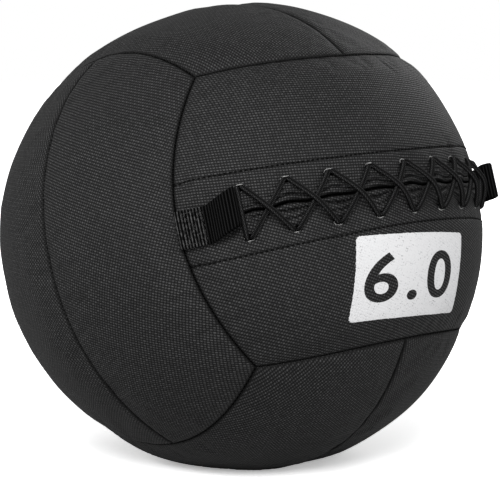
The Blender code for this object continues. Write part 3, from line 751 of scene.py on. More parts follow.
def on_line(run: Array) -> Array:
    """Gives distances as places on a straight line through space."""
    return np.stack([run, 0 * run, 0 * run], -1)


def grid_faces(columns: int, rows: int, flipped: bool = False, first: int = 0) -> list[Face]:
    """Gives the quads of a grid whose vertices run along the rows first."""
    faces = []
    for column in range(columns - 1):
        for row in range(rows - 1):
            low = first + column * rows + row
            quad = (low, low + rows, low + rows + 1, low + 1)
            faces.append(quad[::-1] if flipped else quad)
    return faces


def grid_border(columns: int, rows: int) -> list[int]:
    """Gives the border of a grid, once round."""
    near = [column * rows for column in range(columns - 1)]
    end = [(columns - 1) * rows + row for row in range(rows - 1)]
    far = [column * rows + rows - 1 for column in range(columns - 1, 0, -1)]
    return near + end + far + [row for row in range(rows - 1, 0, -1)]


# Stitches by Geometry Nodes


class Lay(Enum):
    """How a stitch lies on its row, as the axis that follows the row."""

    ALONG = "X"
    ACROSS = "Y"


@dataclass(frozen=True)
class Stitching:
    """One kind of sewn stitch, repeated along any number of rows."""

    pitch: float
    length: float
    thread_radius: float
    lay: Lay = Lay.ALONG

    def tree(self) -> bpy.types.NodeTree:
        """Builds the nodes that lay the stitches along a curve."""
        tree = bpy.data.node_groups.new("stitching", "GeometryNodeTree")
        for name, kind in (
            ("Geometry", "Geometry"),
            ("Pitch", "Float"),
            ("Stitch Length", "Float"),
            ("Thread Radius", "Float"),
            ("Ball Centre", "Vector"),
            ("Thread", "Material"),
        ):
            tree.interface.new_socket(name, in_out="INPUT", socket_type=f"NodeSocket{kind}")
        tree.interface.new_socket("Geometry", in_out="OUTPUT", socket_type="NodeSocketGeometry")

        def add(kind: str, settings: dict, *links: tuple[object, object]) -> bpy.types.Node:
            """Adds a node with its settings and its links."""
            node = tree.nodes.new(kind)
            for setting, value in settings.items():
                setattr(node, setting, value)
            for slot, source in links:
                target = node.inputs[slot]
                if isinstance(source, Socket):
                    tree.links.new(source, target)
                else:
                    target.default_value = source
            return node

        align = "FunctionNodeAlignRotationToVector"
        given = add("NodeGroupInput", {}).outputs
        curve, pitch, length, radius, centre, thread = given[:6]
        spacing = (("Curve", curve), ("Length", pitch))
        row = add("GeometryNodeCurveToPoints", {"mode": "LENGTH"}, *spacing).outputs
        half = add("ShaderNodeMath", {"operation": "MULTIPLY"}, (0, length), (1, 0.5))
        size = add("ShaderNodeCombineXYZ", {}, ("X", half.outputs[0]), ("Y", radius), ("Z", radius))
        bead = add("GeometryNodeMeshUVSphere", {}, ("Segments", 6), ("Rings", 6), ("Radius", 1.0))
        quarter = (0, math.pi / 2, 0)
        turned = add("GeometryNodeTransform", {}, ("Geometry", bead.outputs[0]), ("Rotation", quarter))
        stitch = add("GeometryNodeTransform", {}, ("Geometry", turned.outputs[0]), ("Scale", size.outputs[0]))
        place = add("GeometryNodeInputPosition", {})
        outwards = add("ShaderNodeVectorMath", {"operation": "SUBTRACT"}, (0, place.outputs[0]), (1, centre))
        follow = add(align, {"axis": self.lay.value}, ("Vector", row["Tangent"]))
        towards = (("Rotation", follow.outputs[0]), ("Vector", outwards.outputs[0]))
        upright = add(align, {"axis": "Z", "pivot_axis": self.lay.value}, *towards)
        beads = (("Points", row[0]), ("Instance", stitch.outputs[0]), ("Rotation", upright.outputs[0]))
        laid = add("GeometryNodeInstanceOnPoints", {}, *beads)
        real = add("GeometryNodeRealizeInstances", {}, (0, laid.outputs[0]))
        smooth = add("GeometryNodeSetShadeSmooth", {}, (0, real.outputs[0]))
        dressed = add("GeometryNodeSetMaterial", {}, (0, smooth.outputs[0]), ("Material", thread))
        add("NodeGroupOutput", {}, (0, dressed.outputs[0]))
        return tree

    def sew(self, name: str, rows: Sequence[Sequence[Vector]], centre: Vector, thread: Finish) -> Piece:
        """Sews the rows and gives the stitches as one plain mesh.

        Args:
            name: the piece's name.
            rows: the points of each row.
            centre: the middle of the ball, which the stitches turn their backs to.
            thread: the thread's finish.

        Returns:
            The piece.
        """
        curve = bpy.data.curves.new(name, "CURVE")
        curve.dimensions = "3D"
        for row in rows:
            spline = curve.splines.new("POLY")
            spline.points.add(len(row) - 1)
            spline.points.foreach_set("co", [part for point in row for part in (*point, 1.0)])
        holder = linked(name, curve)
        tree = self.tree()
        sewn = holder.modifiers.new("stitching", "NODES")
        sewn.node_group = tree
        given = {
            "Pitch": self.pitch,
            "Stitch Length": self.length,
            "Thread Radius": self.thread_radius,
            "Ball Centre": tuple(centre),
            "Thread": thread,
        }
        for item in tree.interface.items_tree:
            if item.in_out == "INPUT" and item.name in given:
                sewn[item.identifier] = given[item.name]
        return settled_mesh(holder)


# The cover


@dataclass
class Cover:
    """The twelve panels of coated cloth, their foam pads and their seams."""

    pattern: Pattern
    draw: float = 1.1 * MM
    pull: float = 17 * MM
    seam_points: int = 90
    seam_rise: float = 0.35 * MM
    seam_floor: float = 0.4 * MM
    edge: float = 0.12 * MM
    edge_roll: float = 1.4 * MM
    thickness: float = 2.4 * MM
    allowance: float = 9 * MM
    allowance_thickness: float = 1.3 * MM
    hem: float = 4.5 * MM
    pucker: float = 0.26 * MM
    pucker_waves: tuple[float, float] = (13 * MM, 6 * MM)
    pucker_start: float = 1.2 * MM
    pucker_reach: float = 8 * MM
    sway: float = 0.5 * MM
    sway_wave: float = 75 * MM
    sway_start: float = 20 * MM
    lip_rise: float = 2.6 * MM
    lip_folds: tuple[float, ...] = (0.0, 5.2 * MM, 10.2 * MM, 14.2 * MM)
    fold_rises: tuple[float, ...] = (1.0, 0.85, 0.4)
    fold_wander: float = 0.55 * MM
    lip_start: float = 34 * MM
    lip_fade: float = 12 * MM
    bulge_margin: float = 3 * MM
    bulge_fade: float = 8 * MM
    crease_depth: float = 1.3 * MM
    crease_width: float = 0.8 * MM
    gather_rise: float = 0.1 * MM
    gather_reach: float = 9 * MM
    opening_roll: float = 2 * MM
    opening_shade: float = 0.9 * MM
    hole_dip: float = 1 * MM
    hole_spread: float = 5.5 * MM
    slit_arch: float = 1.6 * MM
    slit_wander: float = 0.5 * MM
    row_distance: float = 27 * MM
    row_bow: float = 1.6 * MM
    row_sink: float = 0.8 * MM
    row_width: float = 1.1 * MM
    row_shade: float = 1.1 * MM
    swell_cap: float = 1.6 * MM
    coarse_columns: int = 67
    coarse_rows: int = 23
    first_steps: tuple[float, ...] = (0.0, 0.35 * MM, 0.8 * MM, 1.4 * MM, 2.2 * MM, 3.3 * MM)
    step: float = 2.3 * MM
    laced_step: float = 1.25 * MM
    lip_step: float = 0.6 * MM
    lip_width: float = 30 * MM
    surfaces: list[tuple[Array, list[Face]]] = field(default_factory=list)

    def shares(self, panel: Panel) -> tuple[Array, Array]:
        """Gives the grid's places along and across a panel."""
        step = self.laced_step if panel.laced else self.step
        half, width = self.pattern.run(1), self.pattern.radius * self.pattern.half_across
        ends = [distance / half for distance in spread(step, half, self.first_steps)]
        columns = sorted([share - 1 for share in ends] + [0.0] + [1 - share for share in ends])
        middle = [distance / width for distance in spread(self.step, width / 2, self.first_steps)]
        rows = sorted(middle + [1 - share for share in middle])
        if panel.laced:
            lip = spread(self.lip_step, self.lip_width, self.first_steps[:3])
            rest = [row for row in rows if row * width > self.lip_width + MM]
            rows = [distance / width for distance in lip] + rest
        return np.array(columns), np.array(rows)

    @staticmethod
    def ripple(places: Array, wavelength: float, seed: int) -> Array:
        """Gives a soft irregular wave through space, between about -1 and 1."""
        draw = np.random.default_rng(seed)
        total = np.zeros(places.shape[:-1])
        for _ in range(7):
            heading = draw.normal(size=3)
            heading /= np.linalg.norm(heading) * wavelength * draw.uniform(0.75, 1.5) / (2 * math.pi)
            total += np.sin(places @ heading + draw.uniform(0, 2 * math.pi))
        return total / 3.0

    def relief(self, panel: Panel, u: Array, v: Array, turned: Array) -> tuple[Array, Array]:
        """Gives the height of the cover above its crown, and the distance to the nearest seam, slit, crease
        or sewn row, which sets where the cloth gets painted shade.
        """
        along, across = self.pattern.scales(u, v)
        sides = [((1 - v) * across, u * along), ((1 - np.abs(u)) * along, v * across + 3 * np.sign(u))]
        if not panel.laced:
            sides.append((v * across, u * along + 7))
        nearest = np.minimum.reduce([side[0] for side in sides])
        height = -self.draw * np.maximum(0, 1 - nearest / self.pull) ** 2
        height -= self.rolled(nearest, self.edge_roll)
        for seed, (distance, run) in enumerate(sides, 40 * list(Panel).index(panel)):
            line = on_line(run)
            long, short = (self.ripple(line, self.pucker_waves[order], seed + 9 * order) for order in (0, 1))
            near = self.pucker * (long + 0.5 * short) * np.exp(-distance / self.pucker_reach)
            height += near * (1 - np.exp(-distance / self.pucker_start))
        swayed = self.ripple(turned * self.pattern.radius, self.sway_wave, 5)
        height += self.sway * swayed * np.minimum(1, nearest / self.sway_start)
        if panel.laced:
            lips, crease = self.lips(u, v, along, across)
            height += lips
            from_row = np.abs(v * across - self.sewn_row(self.pattern.run(u)))
            # The creases, the slit and the sewn row join the distance that places the painted shade.
            nearest = np.minimum.reduce([nearest, crease, from_row + self.row_shade])
        return height, nearest

    @staticmethod
    def rolled(distance: Array, radius: float) -> Array:
        """Gives how far the cloth has rolled down at a distance from its edge."""
        left = np.maximum(0, radius - distance)
        return radius - np.sqrt(radius**2 - left**2)

    def arch(self, run: Array) -> Array:
        """Gives a wave along the slit that is 1 at the pairs of eyelets and 0 between them."""
        return np.cos(math.pi * run / self.pattern.eyelet_pitch) ** 2

    def lips(self, u: Array, v: Array, along: Array, across: Array) -> tuple[Array, Array]:
        """Gives the height of the gathered lips with all that is sewn there, and how near a crease or the
        slit is, for the painted shade there.
        """
        run, off = self.pattern.run(u), v * across
        pitch, steps = self.pattern.eyelet_pitch, self.pattern.eyelet_steps
        line = on_line(run)
        fade = np.clip(((1 - np.abs(u)) * along - self.lip_start) / self.lip_fade, 0, 1)
        inside = np.clip((steps * pitch - self.bulge_margin - np.abs(run)) / self.bulge_fade, 0, 1)
        bulge = 0.25 + 0.75 * inside * self.arch(run)
        wander = self.fold_wander * self.ripple(line, 19 * MM, 71) * np.minimum(1, off / (4 * MM))
        reach = (off + wander) / (0.42 + 0.58 * bulge)
        height = np.zeros_like(run)
        for start, end, rise in zip(self.lip_folds, self.lip_folds[1:], self.fold_rises):
            share = np.clip((reach - start) / (end - start), 0, 1)
            height += self.lip_rise * rise * fade * bulge * (4 * share * (1 - share)) ** 0.6
        crease = off + self.opening_shade
        for fold, depth in zip(self.lip_folds[1:], self.fold_rises[1:]):
            away, strong = np.abs(reach - fold), depth * fade * bulge**0.5
            height -= self.crease_depth * strong * np.exp(-away / self.crease_width)
            crease = np.minimum(crease, away + (2.9 - 1.8 * strong) * MM)
        gathers = self.ripple(line, 7 * MM, 72) + 0.5 * self.ripple(line + off[..., None], 4 * MM, 73)
        height += self.gather_rise * fade * gathers * np.exp(-off / self.gather_reach)
        height -= self.rolled(off, self.opening_roll) * (0.35 + 0.45 * fade)
        pair = np.clip(np.round(run / pitch), -steps, steps) * pitch
        from_hole = np.hypot(run - pair, off - self.pattern.eyelet_offset)
        height -= self.hole_dip * np.exp(-((from_hole / self.hole_spread) ** 2))
        height -= self.row_sink * np.exp(-np.abs(off - self.sewn_row(run)) / self.row_width)
        return height, crease

    def meander(self, run: Array) -> Array:
        """Gives how far the slit wanders upwards off its middle line, where it is laced."""
        pitch = self.pattern.eyelet_pitch
        inside = np.clip((self.pattern.eyelet_steps * pitch - np.abs(run)) / (10 * MM), 0, 1)
        straight = 1 - 0.65 * np.clip(run / (3 * pitch), 0, 1)
        wander = self.slit_wander * self.ripple(on_line(run), 26 * MM, 74)
        return inside * straight * (self.slit_arch * self.arch(run) + wander)

    def sewn_row(self, run: Array) -> Array:
        """Gives the distance of the sewn row from the slit."""
        return self.row_distance - self.row_bow * np.cos(run / (60 * MM))

    def swell(self, shapes: list[Array]) -> list[Array]:
        """Blows up slack copies of the panels with Cloth, each held at its seams.

        Args:
            shapes: a coarse grid of points for each panel.

        Returns:
            How far each point of each grid moved outwards, with a cap.
        """
        columns, rows = shapes[0].shape[:2]
        firsts = range(0, len(shapes) * columns * rows, columns * rows)
        faces = [quad for first in firsts for quad in grid_faces(columns, rows, first=first)]
        start = np.concatenate([shape.reshape(-1, 3) for shape in shapes])
        work = mesh_piece("cover_swelling", start, faces, bpy.data.materials[CoatedCloth.name])
        held = work.vertex_groups.new(name="seams")
        border = grid_border(columns, rows)
        held.add([first + corner for first in firsts for corner in border], 1.0, "REPLACE")
        cloth = work.modifiers.new("swell", "CLOTH")
        for name, value in SWELLING.items():
            setattr(cloth.settings, name, value)
        cloth.settings.effector_weights.gravity = 0
        cloth.collision_settings.use_collision = False
        cloth.point_cache.frame_start, cloth.point_cache.frame_end = 1, SWELL_FRAMES
        for frame in range(1, SWELL_FRAMES + 1):
            bpy.context.scene.frame_set(frame)
        final = settled_mesh(work)
        moved = np.empty(len(final.data.vertices) * 3)
        final.data.vertices.foreach_get("co", moved)
        bpy.data.objects.remove(final)
        bpy.context.scene.frame_set(1)
        outwards = start - np.array(self.pattern.centre)
        outwards /= np.linalg.norm(outwards, axis=-1, keepdims=True)
        grown = ((moved.reshape(-1, 3) - start) * outwards).sum(-1)
        grown = self.swell_cap * np.tanh((grown - np.median(grown)) / self.swell_cap)
        return list(grown.reshape(len(shapes), columns, rows))

    @staticmethod
    def finer(values: Array, old: Array, new: Array, axis: int) -> Array:
        """Reads a grid of values at more places along one axis, on a smooth curve."""
        spot = np.interp(new, old, np.arange(len(old)))
        base = np.clip(spot.astype(int), 0, len(old) - 2)
        part = spot - base
        weights = [
            -0.5 * part + part**2 - 0.5 * part**3,
            1 - 2.5 * part**2 + 1.5 * part**3,
            0.5 * part + 2 * part**2 - 1.5 * part**3,
            -0.5 * part**2 + 0.5 * part**3,
        ]
        total = 0
        for shift, weight in zip((-1, 0, 1, 2), weights):
            taken = np.take(values, np.clip(base + shift, 0, len(old) - 1), axis=axis)
            total = total + taken * (weight[:, None] if axis == 0 else weight[None, :])
        return total

    def build(self, cloth: Finish, foam: Finish) -> dict[Panel, Piece]:
        """Makes every panel and pad.

        Args:
            cloth: the cover's finish.
            foam: the pads' finish.

        Returns:
            The panels' pieces, before the eyelets are punched.
        """
        coarse_u, coarse_v = np.linspace(-1, 1, self.coarse_columns), np.linspace(0, 1, self.coarse_rows)
        coarse = np.meshgrid(coarse_u, coarse_v, indexing="ij")
        grown = {panel: np.zeros_like(coarse[0]) for panel in Panel}
        shapes = []
        for panel in Panel:
            turned = self.pattern.directions(*coarse) @ panel.turn.T
            height, _ = self.relief(panel, *coarse, turned)
            shapes.append(self.pattern.settle(turned * (self.pattern.radius + height)[..., None]))
        grown = dict(zip(Panel, self.swell(shapes)))
        LOG.info("the cover swelled by up to %.2f mm", max(part.max() for part in grown.values()) / MM)
        made = {}
        for panel in Panel:
            columns, rows = self.shares(panel)
            extra = self.finer(self.finer(grown[panel], coarse_u, columns, 0), coarse_v, rows, 1)
            made[panel] = self.panel(panel, columns, rows, extra, cloth)
            pad = rounded_copy(panel.node + "_foam", panel.node + "_pad", foam, 2, self.pattern)
            place_piece(pad, "ball", "foam", panel.node + "_pad")
        return made

    def panel(self, panel: Panel, columns: Array, rows: Array, extra: Array, cloth: Finish) -> Piece:
        """Makes one panel as a closed layer with its seam allowance turned in.

        Args:
            panel: which one.
            columns: the grid's places along it.
            rows: the grid's places across it.
            extra: how far the cloth has swelled, for each place.
            cloth: its finish.

        Returns:
            The piece.
        """
        u, v = np.meshgrid(columns, rows, indexing="ij")
        along, across = self.pattern.scales(u, v)

        def layer(edge: float, depth: Array | float, keep: Array | slice = slice(None)) -> Array:
            """Lays the grid at an inset and a depth."""
            start = max(edge, 0.5 * MM) if panel.laced else edge
            place_u = u * (1 - edge / along)
            place_v = v * (1 - (edge + start) / across) + start / across
            if panel.laced:
                way = 1 if panel is Panel.FRONT_UPPER else -1
                rise = self.meander(self.pattern.run(way * u))
                place_v = place_v + way * rise * np.exp(-((v * across / (8 * MM)) ** 2)) / across
            turned = self.pattern.directions(place_u, place_v) @ panel.turn.T
            height, _ = self.relief(panel, u, v, turned)
            radius = self.pattern.radius + height + extra - depth
            return self.pattern.settle(turned * radius[..., None], depth).reshape(-1, 3)[keep]

        border = np.array(grid_border(len(columns), len(rows)))
        deep = np.full(u.shape, self.allowance)
        if panel.laced:
            deep[1:-1, 0] = self.hem
        within = self.edge + self.allowance_thickness
        outer, inner = layer(self.edge, 0.0), layer(within, self.thickness)
        rims = [layer(self.edge, deep, border), layer(within, deep, border)]
        points = np.concatenate([outer, inner, *rims])
        count, around = len(outer), len(border)
        faces = grid_faces(len(columns), len(rows)) + grid_faces(len(columns), len(rows), True, count)
        turned_in = 2 * count + np.arange(around)
        rings = [border, turned_in, turned_in + around, border + count]
        for upper, lower in zip(rings, rings[1:]):
            for here in range(around):
                after = (here + 1) % around
                quad = (upper[after], upper[here], lower[here], lower[after])
                faces.append(tuple(int(corner) for corner in quad))
        piece = mesh_piece(panel.node + "_cloth", points, faces, cloth)
        flat = self.pattern.directions(u, v)
        threads = panel.woven(np.arcsin(flat[..., 0]), np.arcsin(flat[..., 2]))
        woven = threads.reshape(-1, 2) * self.pattern.radius
        cloth_map(piece, np.concatenate([woven, woven, woven[border], woven[border]]))
        # The seam attribute is the distance that places the painted shade at seams, creases, the slit and the
        # sewn rows.
        _, nearest = self.relief(panel, u, v, flat @ panel.turn.T)
        near = nearest.ravel()
        point_values(piece, "seam", np.concatenate([near, near, near[border], near[border]]))
        self.surfaces.append((outer, grid_faces(len(columns), len(rows))))
        return piece

    def tree(self) -> BVHTree:
        """Gives the outside of the whole cover for finding places on it."""
        points, faces, first = [], [], 0
        for outer, quads in self.surfaces:
            points += [tuple(point) for point in outer]
            faces += [tuple(first + corner for corner in quad) for quad in quads]
            first += len(outer)
        return BVHTree.FromPolygons(points, faces)

    def seams(self) -> list[list[Vector]]:
        """Gives every sewn seam as a row of points in its valley."""
        share = np.linspace(-1, 1, self.seam_points)
        depth = self.draw + self.edge_roll - self.seam_rise
        rows = []
        for panel in Panel:
            lines = [self.pattern.long_seam(share)]
            if not panel.laced and panel.name.endswith(("UPPER", "FRONT", "LEFT")):
                lines.append(self.pattern.division(share))
            for line in lines:
                turned = line @ panel.turn.T * (self.pattern.radius - depth)
                points = self.pattern.settle(turned, self.seam_floor)
                rows.append([Vector(point) for point in points])
        return rows


def rounded_copy(name: str, node: str, material: Finish, levels: int, pattern: Pattern) -> Piece:
    """Makes a soft piece from a node's solid, with its corners rounded by subdivision.

    Args:
        name: the piece's name.
        node: the node whose mesh it starts from.
        material: its finish.
        levels: how often it is subdivided.
        pattern: the pattern, whose slumps it follows.

    Returns:
        The piece, with a plain mesh.
    """
    source = bpy.data.objects[node].data
    bm = bmesh.new()
    bm.from_mesh(source)
    bmesh.ops.remove_doubles(bm, verts=bm.verts, dist=0.01 * MM)
    bmesh.ops.join_triangles(bm, faces=bm.faces, angle_face_threshold=0.35, angle_shape_threshold=0.7)
    places = np.array([vert.co for vert in bm.verts])
    lowest = places[:, 2].min()
    for vert, place in zip(bm.verts, pattern.slumped(places)):
        vert.co = (place[0], place[1], max(place[2], lowest))
    mesh = bpy.data.meshes.new(name)
    bm.to_mesh(mesh)
    bm.free()
    mesh.materials.append(material)
    piece = linked(name, smoothed(mesh))
    rounding = piece.modifiers.new("rounding", "SUBSURF")
    rounding.levels = rounding.render_levels = levels
    return settled_mesh(piece)


# The closure


@dataclass
class Closure:
    """The eyelets, the cord that laces them, and the rows sewn beside the slit."""

    pattern: Pattern
    cover: Cover
    hole_width: float = 3.9 * MM
    hole_depth: float = 4.85 * MM
    edge_stretch: float = 1.55
    edge_steps: int = 26
    edge_corners: int = 5
    pass_gap: float = 4 * MM
    cord_radius: float = 1.5 * MM
    braid_rise: float = 0.2 * MM
    cord_gap: float = 0.45 * MM
    lip_rise: float = 1.4 * MM
    depth: float = 7.1 * MM
    tail: float = 8 * MM
    reach: float = 3.2 * MM
    hem_row: float = 3.9 * MM
    hem_follow: float = 0.8
    hem_reach: float = 3.9
    row_margin: float = 3 * MM
    row_points: int = 260
    curve_steps: int = 12
    cord_step: float = 0.85 * MM
    cord_corners: int = 14
    punch_corners: int = 20

    @property
    def offset(self) -> float:
        """How far the eyelets lie from the slit."""
        return self.pattern.eyelet_offset

    def eyelet(self, pair: int) -> float:
        """Gives how far along the slit a pair lies."""
        return self.pattern.eyelet_pitch * (pair - self.pattern.eyelet_steps)

    def oval(self, along: float, across: float, corners: int) -> list[Vector]:
        """Gives the outline of an eyelet in its own plane, as offsets in the world."""
        axes, radius = self.pattern.closure_axes(along, across, 0), self.hole_width / 2
        outline = []
        for step in range(corners):
            angle = 2 * math.pi * (step + 0.5) / corners
            side = math.copysign(self.pass_gap / 2, math.cos(angle))
            outline.append(axes @ Vector((side + radius * math.cos(angle), radius * math.sin(angle), 0)))
        return outline

    def punch(self, panel: Piece, side: int) -> None:
        """Cuts one panel's row of eyelets.

        Args:
            panel: the panel's piece.
            side: 1 for the upper panel and -1 for the lower.
        """
        points, faces = [], []
        for pair in range(self.pattern.eyelet_pairs):
            spot = (self.eyelet(pair), side * self.offset, 0)
            base, out = self.pattern.closure_point(*spot), self.pattern.closure_axes(*spot).col[2]
            outline = self.oval(*spot[:2], self.punch_corners)
            faces += [face[::-1] for face in tube_faces(2, len(outline), len(points))]
            for height in (6, -9):
                points += [base + corner + out * height * MM for corner in outline]
        cutter = mesh_piece("punch", points, faces, panel.data.materials[0])
        cut = panel.modifiers.new("punch", "BOOLEAN")
        cut.operation, cut.solver, cut.object = "DIFFERENCE", "EXACT", cutter
        settled_mesh(panel)
        bpy.data.objects.remove(cutter)
        smoothed(panel.data)

    def edges(self, surface: BVHTree, material: Finish) -> Piece:
        """Makes the raw, paler edges of the cut cloth on the far side of each eyelet.

        Args:
            surface: the outside of the cover.
            material: the backing's finish.

        Returns:
            The piece.
        """
        points, faces = [], []
        draw = np.random.default_rng(12)
        for side in (1, -1):
            for pair in range(self.pattern.eyelet_pairs):
                spot = (self.eyelet(pair), side * self.offset, 0)
                base, axes = self.pattern.closure_point(*spot), self.pattern.closure_axes(*spot)
                faces += tube_faces(self.edge_steps + 1, self.edge_corners, len(points))
                begin, end = draw.uniform(-0.08, 0.1), draw.uniform(0.9, 1.08)
                for share in np.linspace(0, 1, self.edge_steps + 1):
                    angle = math.pi * (begin + (end - begin) * share) * side
                    radius = self.hole_width / 2 + draw.uniform(0.1, 0.4) * MM
                    round_hole = (self.edge_stretch * radius * math.cos(angle), radius * math.sin(angle), 0)
                    away = axes @ Vector(round_hole)
                    place, normal = self.ground(surface, base + away)
                    thick = (0.08 + draw.uniform(0.12, 0.42) * math.sqrt(4 * share * (1 - share))) * MM
                    points += ring(place, away.normalized(), normal, thick, self.edge_corners)
        return turned_out(mesh_piece("eyelet_edges", points, faces, material))

    @staticmethod
    def ground(surface: BVHTree, place: Vector) -> tuple[Vector, Vector]:
        """Gives the nearest place on the cover and its outward direction."""
        spot, normal, _, _ = surface.find_nearest(place)
        return spot, normal

    def over_lips(self, start: Sequence[float], end: Sequence[float], crossing: float) -> Route:
        """Lays the cord from one eyelet to another over the lips."""
        low = self.cord_radius + self.cord_gap
        shares = [(0.1, low), (0.24, (low + crossing) / 2), (0.5, crossing)]
        shares += [(1 - share, height) for share, height in shares[-2::-1]]
        return [(*(a + (b - a) * share for a, b in zip(start, end)), height) for share, height in shares]

    def through(self, place: Sequence[float], down: bool) -> Route:
        """Takes the cord through an eyelet, downwards or upwards."""
        points = [(*place, self.cord_gap), (*place, -self.hole_depth)]
        return points if down else points[::-1]

    def under_lips(self, start: Sequence[float], end: Sequence[float], depth: float) -> Route:
        """Lays the cord behind the lips, from one eyelet of a pair to the other."""
        side = math.copysign(1, start[1])
        turn = self.reach / (2 * self.offset)
        return [
            (start[0] + (end[0] - start[0]) * turn, start[1] - side * self.reach, -depth),
            ((start[0] + end[0]) / 2, 0, -depth),
            (end[0] - (end[0] - start[0]) * turn, end[1] + side * self.reach, -depth),
        ]

    def route(self) -> Route:
        """Gives the whole route of the cord, from its tail at the right round the left end and back."""
        step, pairs = self.pass_gap / 2, self.pattern.eyelet_pairs
        apart = 2 * self.cord_radius + self.cord_gap
        lying = self.lip_rise + self.cord_radius + self.cord_gap

        def run(first_side: int, crossing: float, depth: float) -> Route:
            """Lays one run from the left end to the last pair."""
            places, side = [], -first_side
            for pair in range(pairs):
                arriving = (self.eyelet(pair) - step, side * self.offset)
                leaving = (self.eyelet(pair) + step, -side * self.offset)
                places += self.through(arriving, True) + self.under_lips(arriving, leaving, depth)
                places += self.through(leaving, False)
                if pair < pairs - 1:
                    following = (self.eyelet(pair + 1) - step, side * self.offset)
                    places += self.over_lips(leaving, following, crossing)
            return places

        upper = run(1, lying + apart, self.depth)
        lower = run(-1, lying, self.depth + apart)
        left, right = self.eyelet(0) - step, self.eyelet(pairs - 1) + step
        bars = [self.over_lips((at, self.offset), (at, -self.offset), lying) for at in (left, right)]
        ending = self.through((right, -self.offset), True)
        ending += [(right + self.reach + more, -self.offset, -self.depth) for more in (0, self.tail)]
        start = lower[:-5]
        back = self.eyelet(pairs - 1) - step
        start += [(back - self.reach - more, self.offset, -self.depth) for more in (0, self.tail)]
        return start[::-1] + bars[0] + upper + bars[1] + ending

    def cord(self, material: Finish) -> Piece:
        """Makes the whole cord as one round tube with a cloth map for its braid."""
        points = smooth_line([self.pattern.closure_point(*place) for place in self.route()], self.curve_steps)
        points = even_line(points, self.cord_step)
        LOG.info("the lacing cord is %.3f m long", distances_along(points)[-1])
        radius = self.cord_radius + self.braid_rise
        return round_tube("laced_cord", points, radius, self.cord_corners, material)

    def row(self, surface: BVHTree, reach: float, across: Callable[[float], float]) -> list[Vector]:
        """Gives one sewn row on the cover, from its reach along the slit and its place across."""
        found = []
        for along in np.linspace(-reach, reach, self.row_points):
            spot = self.pattern.closure_point(float(along), float(across(along)), 0)
            place, normal = self.ground(surface, spot)
            found.append(place + normal * 0.12 * MM)
        return found

    def rows(self, surface: BVHTree) -> tuple[list[list[Vector]], list[list[Vector]]]:
        """Gives the rows sewn beside the slit, and those of the hems in its lips."""
        length, laced = self.pattern.run(1) - self.row_margin, self.hem_reach * self.pattern.eyelet_pitch
        cover = self.cover
        beside, hems = [], []
        for side in (1, -1):
            beside.append(self.row(surface, length, lambda run: side * cover.sewn_row(run)))
            hem = side * self.hem_row
            hems.append(self.row(surface, laced, lambda run: hem + self.hem_follow * cover.meander(run)))
        return beside, hems


def smooth_line(points: Sequence[Vector], steps: int) -> list[Vector]:
    """Reads many points from one smooth curve through all of these.

    Args:
        points: the points that the curve goes through.
        steps: how many points it gives for each of them.

    Returns:
        The curve's points.
    """

    def heading(before: Vector, here: Vector, after: Vector) -> Vector:
        """Gives the curve's slope at a point."""
        arriving, leaving = math.sqrt((here - before).length), math.sqrt((after - here).length)
        return (here - before) / arriving + (after - here) / leaving - (after - before) / (arriving + leaving)

    padded = [points[0] * 2 - points[1], *points, points[-1] * 2 - points[-2]]
    out = []
    for before, start, end, after in zip(padded, padded[1:], padded[2:], padded[3:]):
        handle = math.sqrt((end - start).length) / 3
        leaving = start + heading(before, start, end) * handle
        arriving = end - heading(start, end, after) * handle
        out += interpolate_bezier(start, leaving, arriving, end, steps + 1)[:-1]
    return out + [points[-1]]


def distances_along(points: Sequence[Vector]) -> Array:
    """Gives how far along a line each of its points lies."""
    return np.concatenate([[0], np.cumsum([(b - a).length for a, b in zip(points, points[1:])])])


def even_line(points: Sequence[Vector], step: float) -> list[Vector]:
    """Reads points at even distances along a line."""
    travelled = distances_along(points)
    count = max(2, int(travelled[-1] / step))
    spots = np.linspace(0, travelled[-1], count)
    axes = [np.interp(spots, travelled, [point[axis] for point in points]) for axis in range(3)]
    return [Vector(point) for point in zip(*axes)]


def tube_faces(rings: int, around: int, first: int) -> list[Face]:
    """Gives the faces of a closed tube whose rings follow each other."""
    faces = []
    for ring in range(rings - 1):
        for turn in range(around):
            after = (turn + 1) % around
            low, high = first + ring * around, first + (ring + 1) * around
            faces.append((low + turn, low + after, high + after, high + turn))
    faces.append(tuple(first + turn for turn in reversed(range(around))))
    faces.append(tuple(first + (rings - 1) * around + turn for turn in range(around)))
    return faces


def turned_out(piece: Piece) -> Piece:
    """Turns every face outwards."""
    bm = bmesh.new()
    bm.from_mesh(piece.data)
    bmesh.ops.recalc_face_normals(bm, faces=bm.faces)
    bm.to_mesh(piece.data)
    bm.free()
    return piece


def ring(middle: Vector, right: Vector, up: Vector, radius: float, corners: int) -> list[Vector]:
    """Gives the points of a ring round a place."""
    turns = [2 * math.pi * corner / corners for corner in range(corners)]
    return [middle + right * (radius * math.cos(turn)) + up * (radius * math.sin(turn)) for turn in turns]


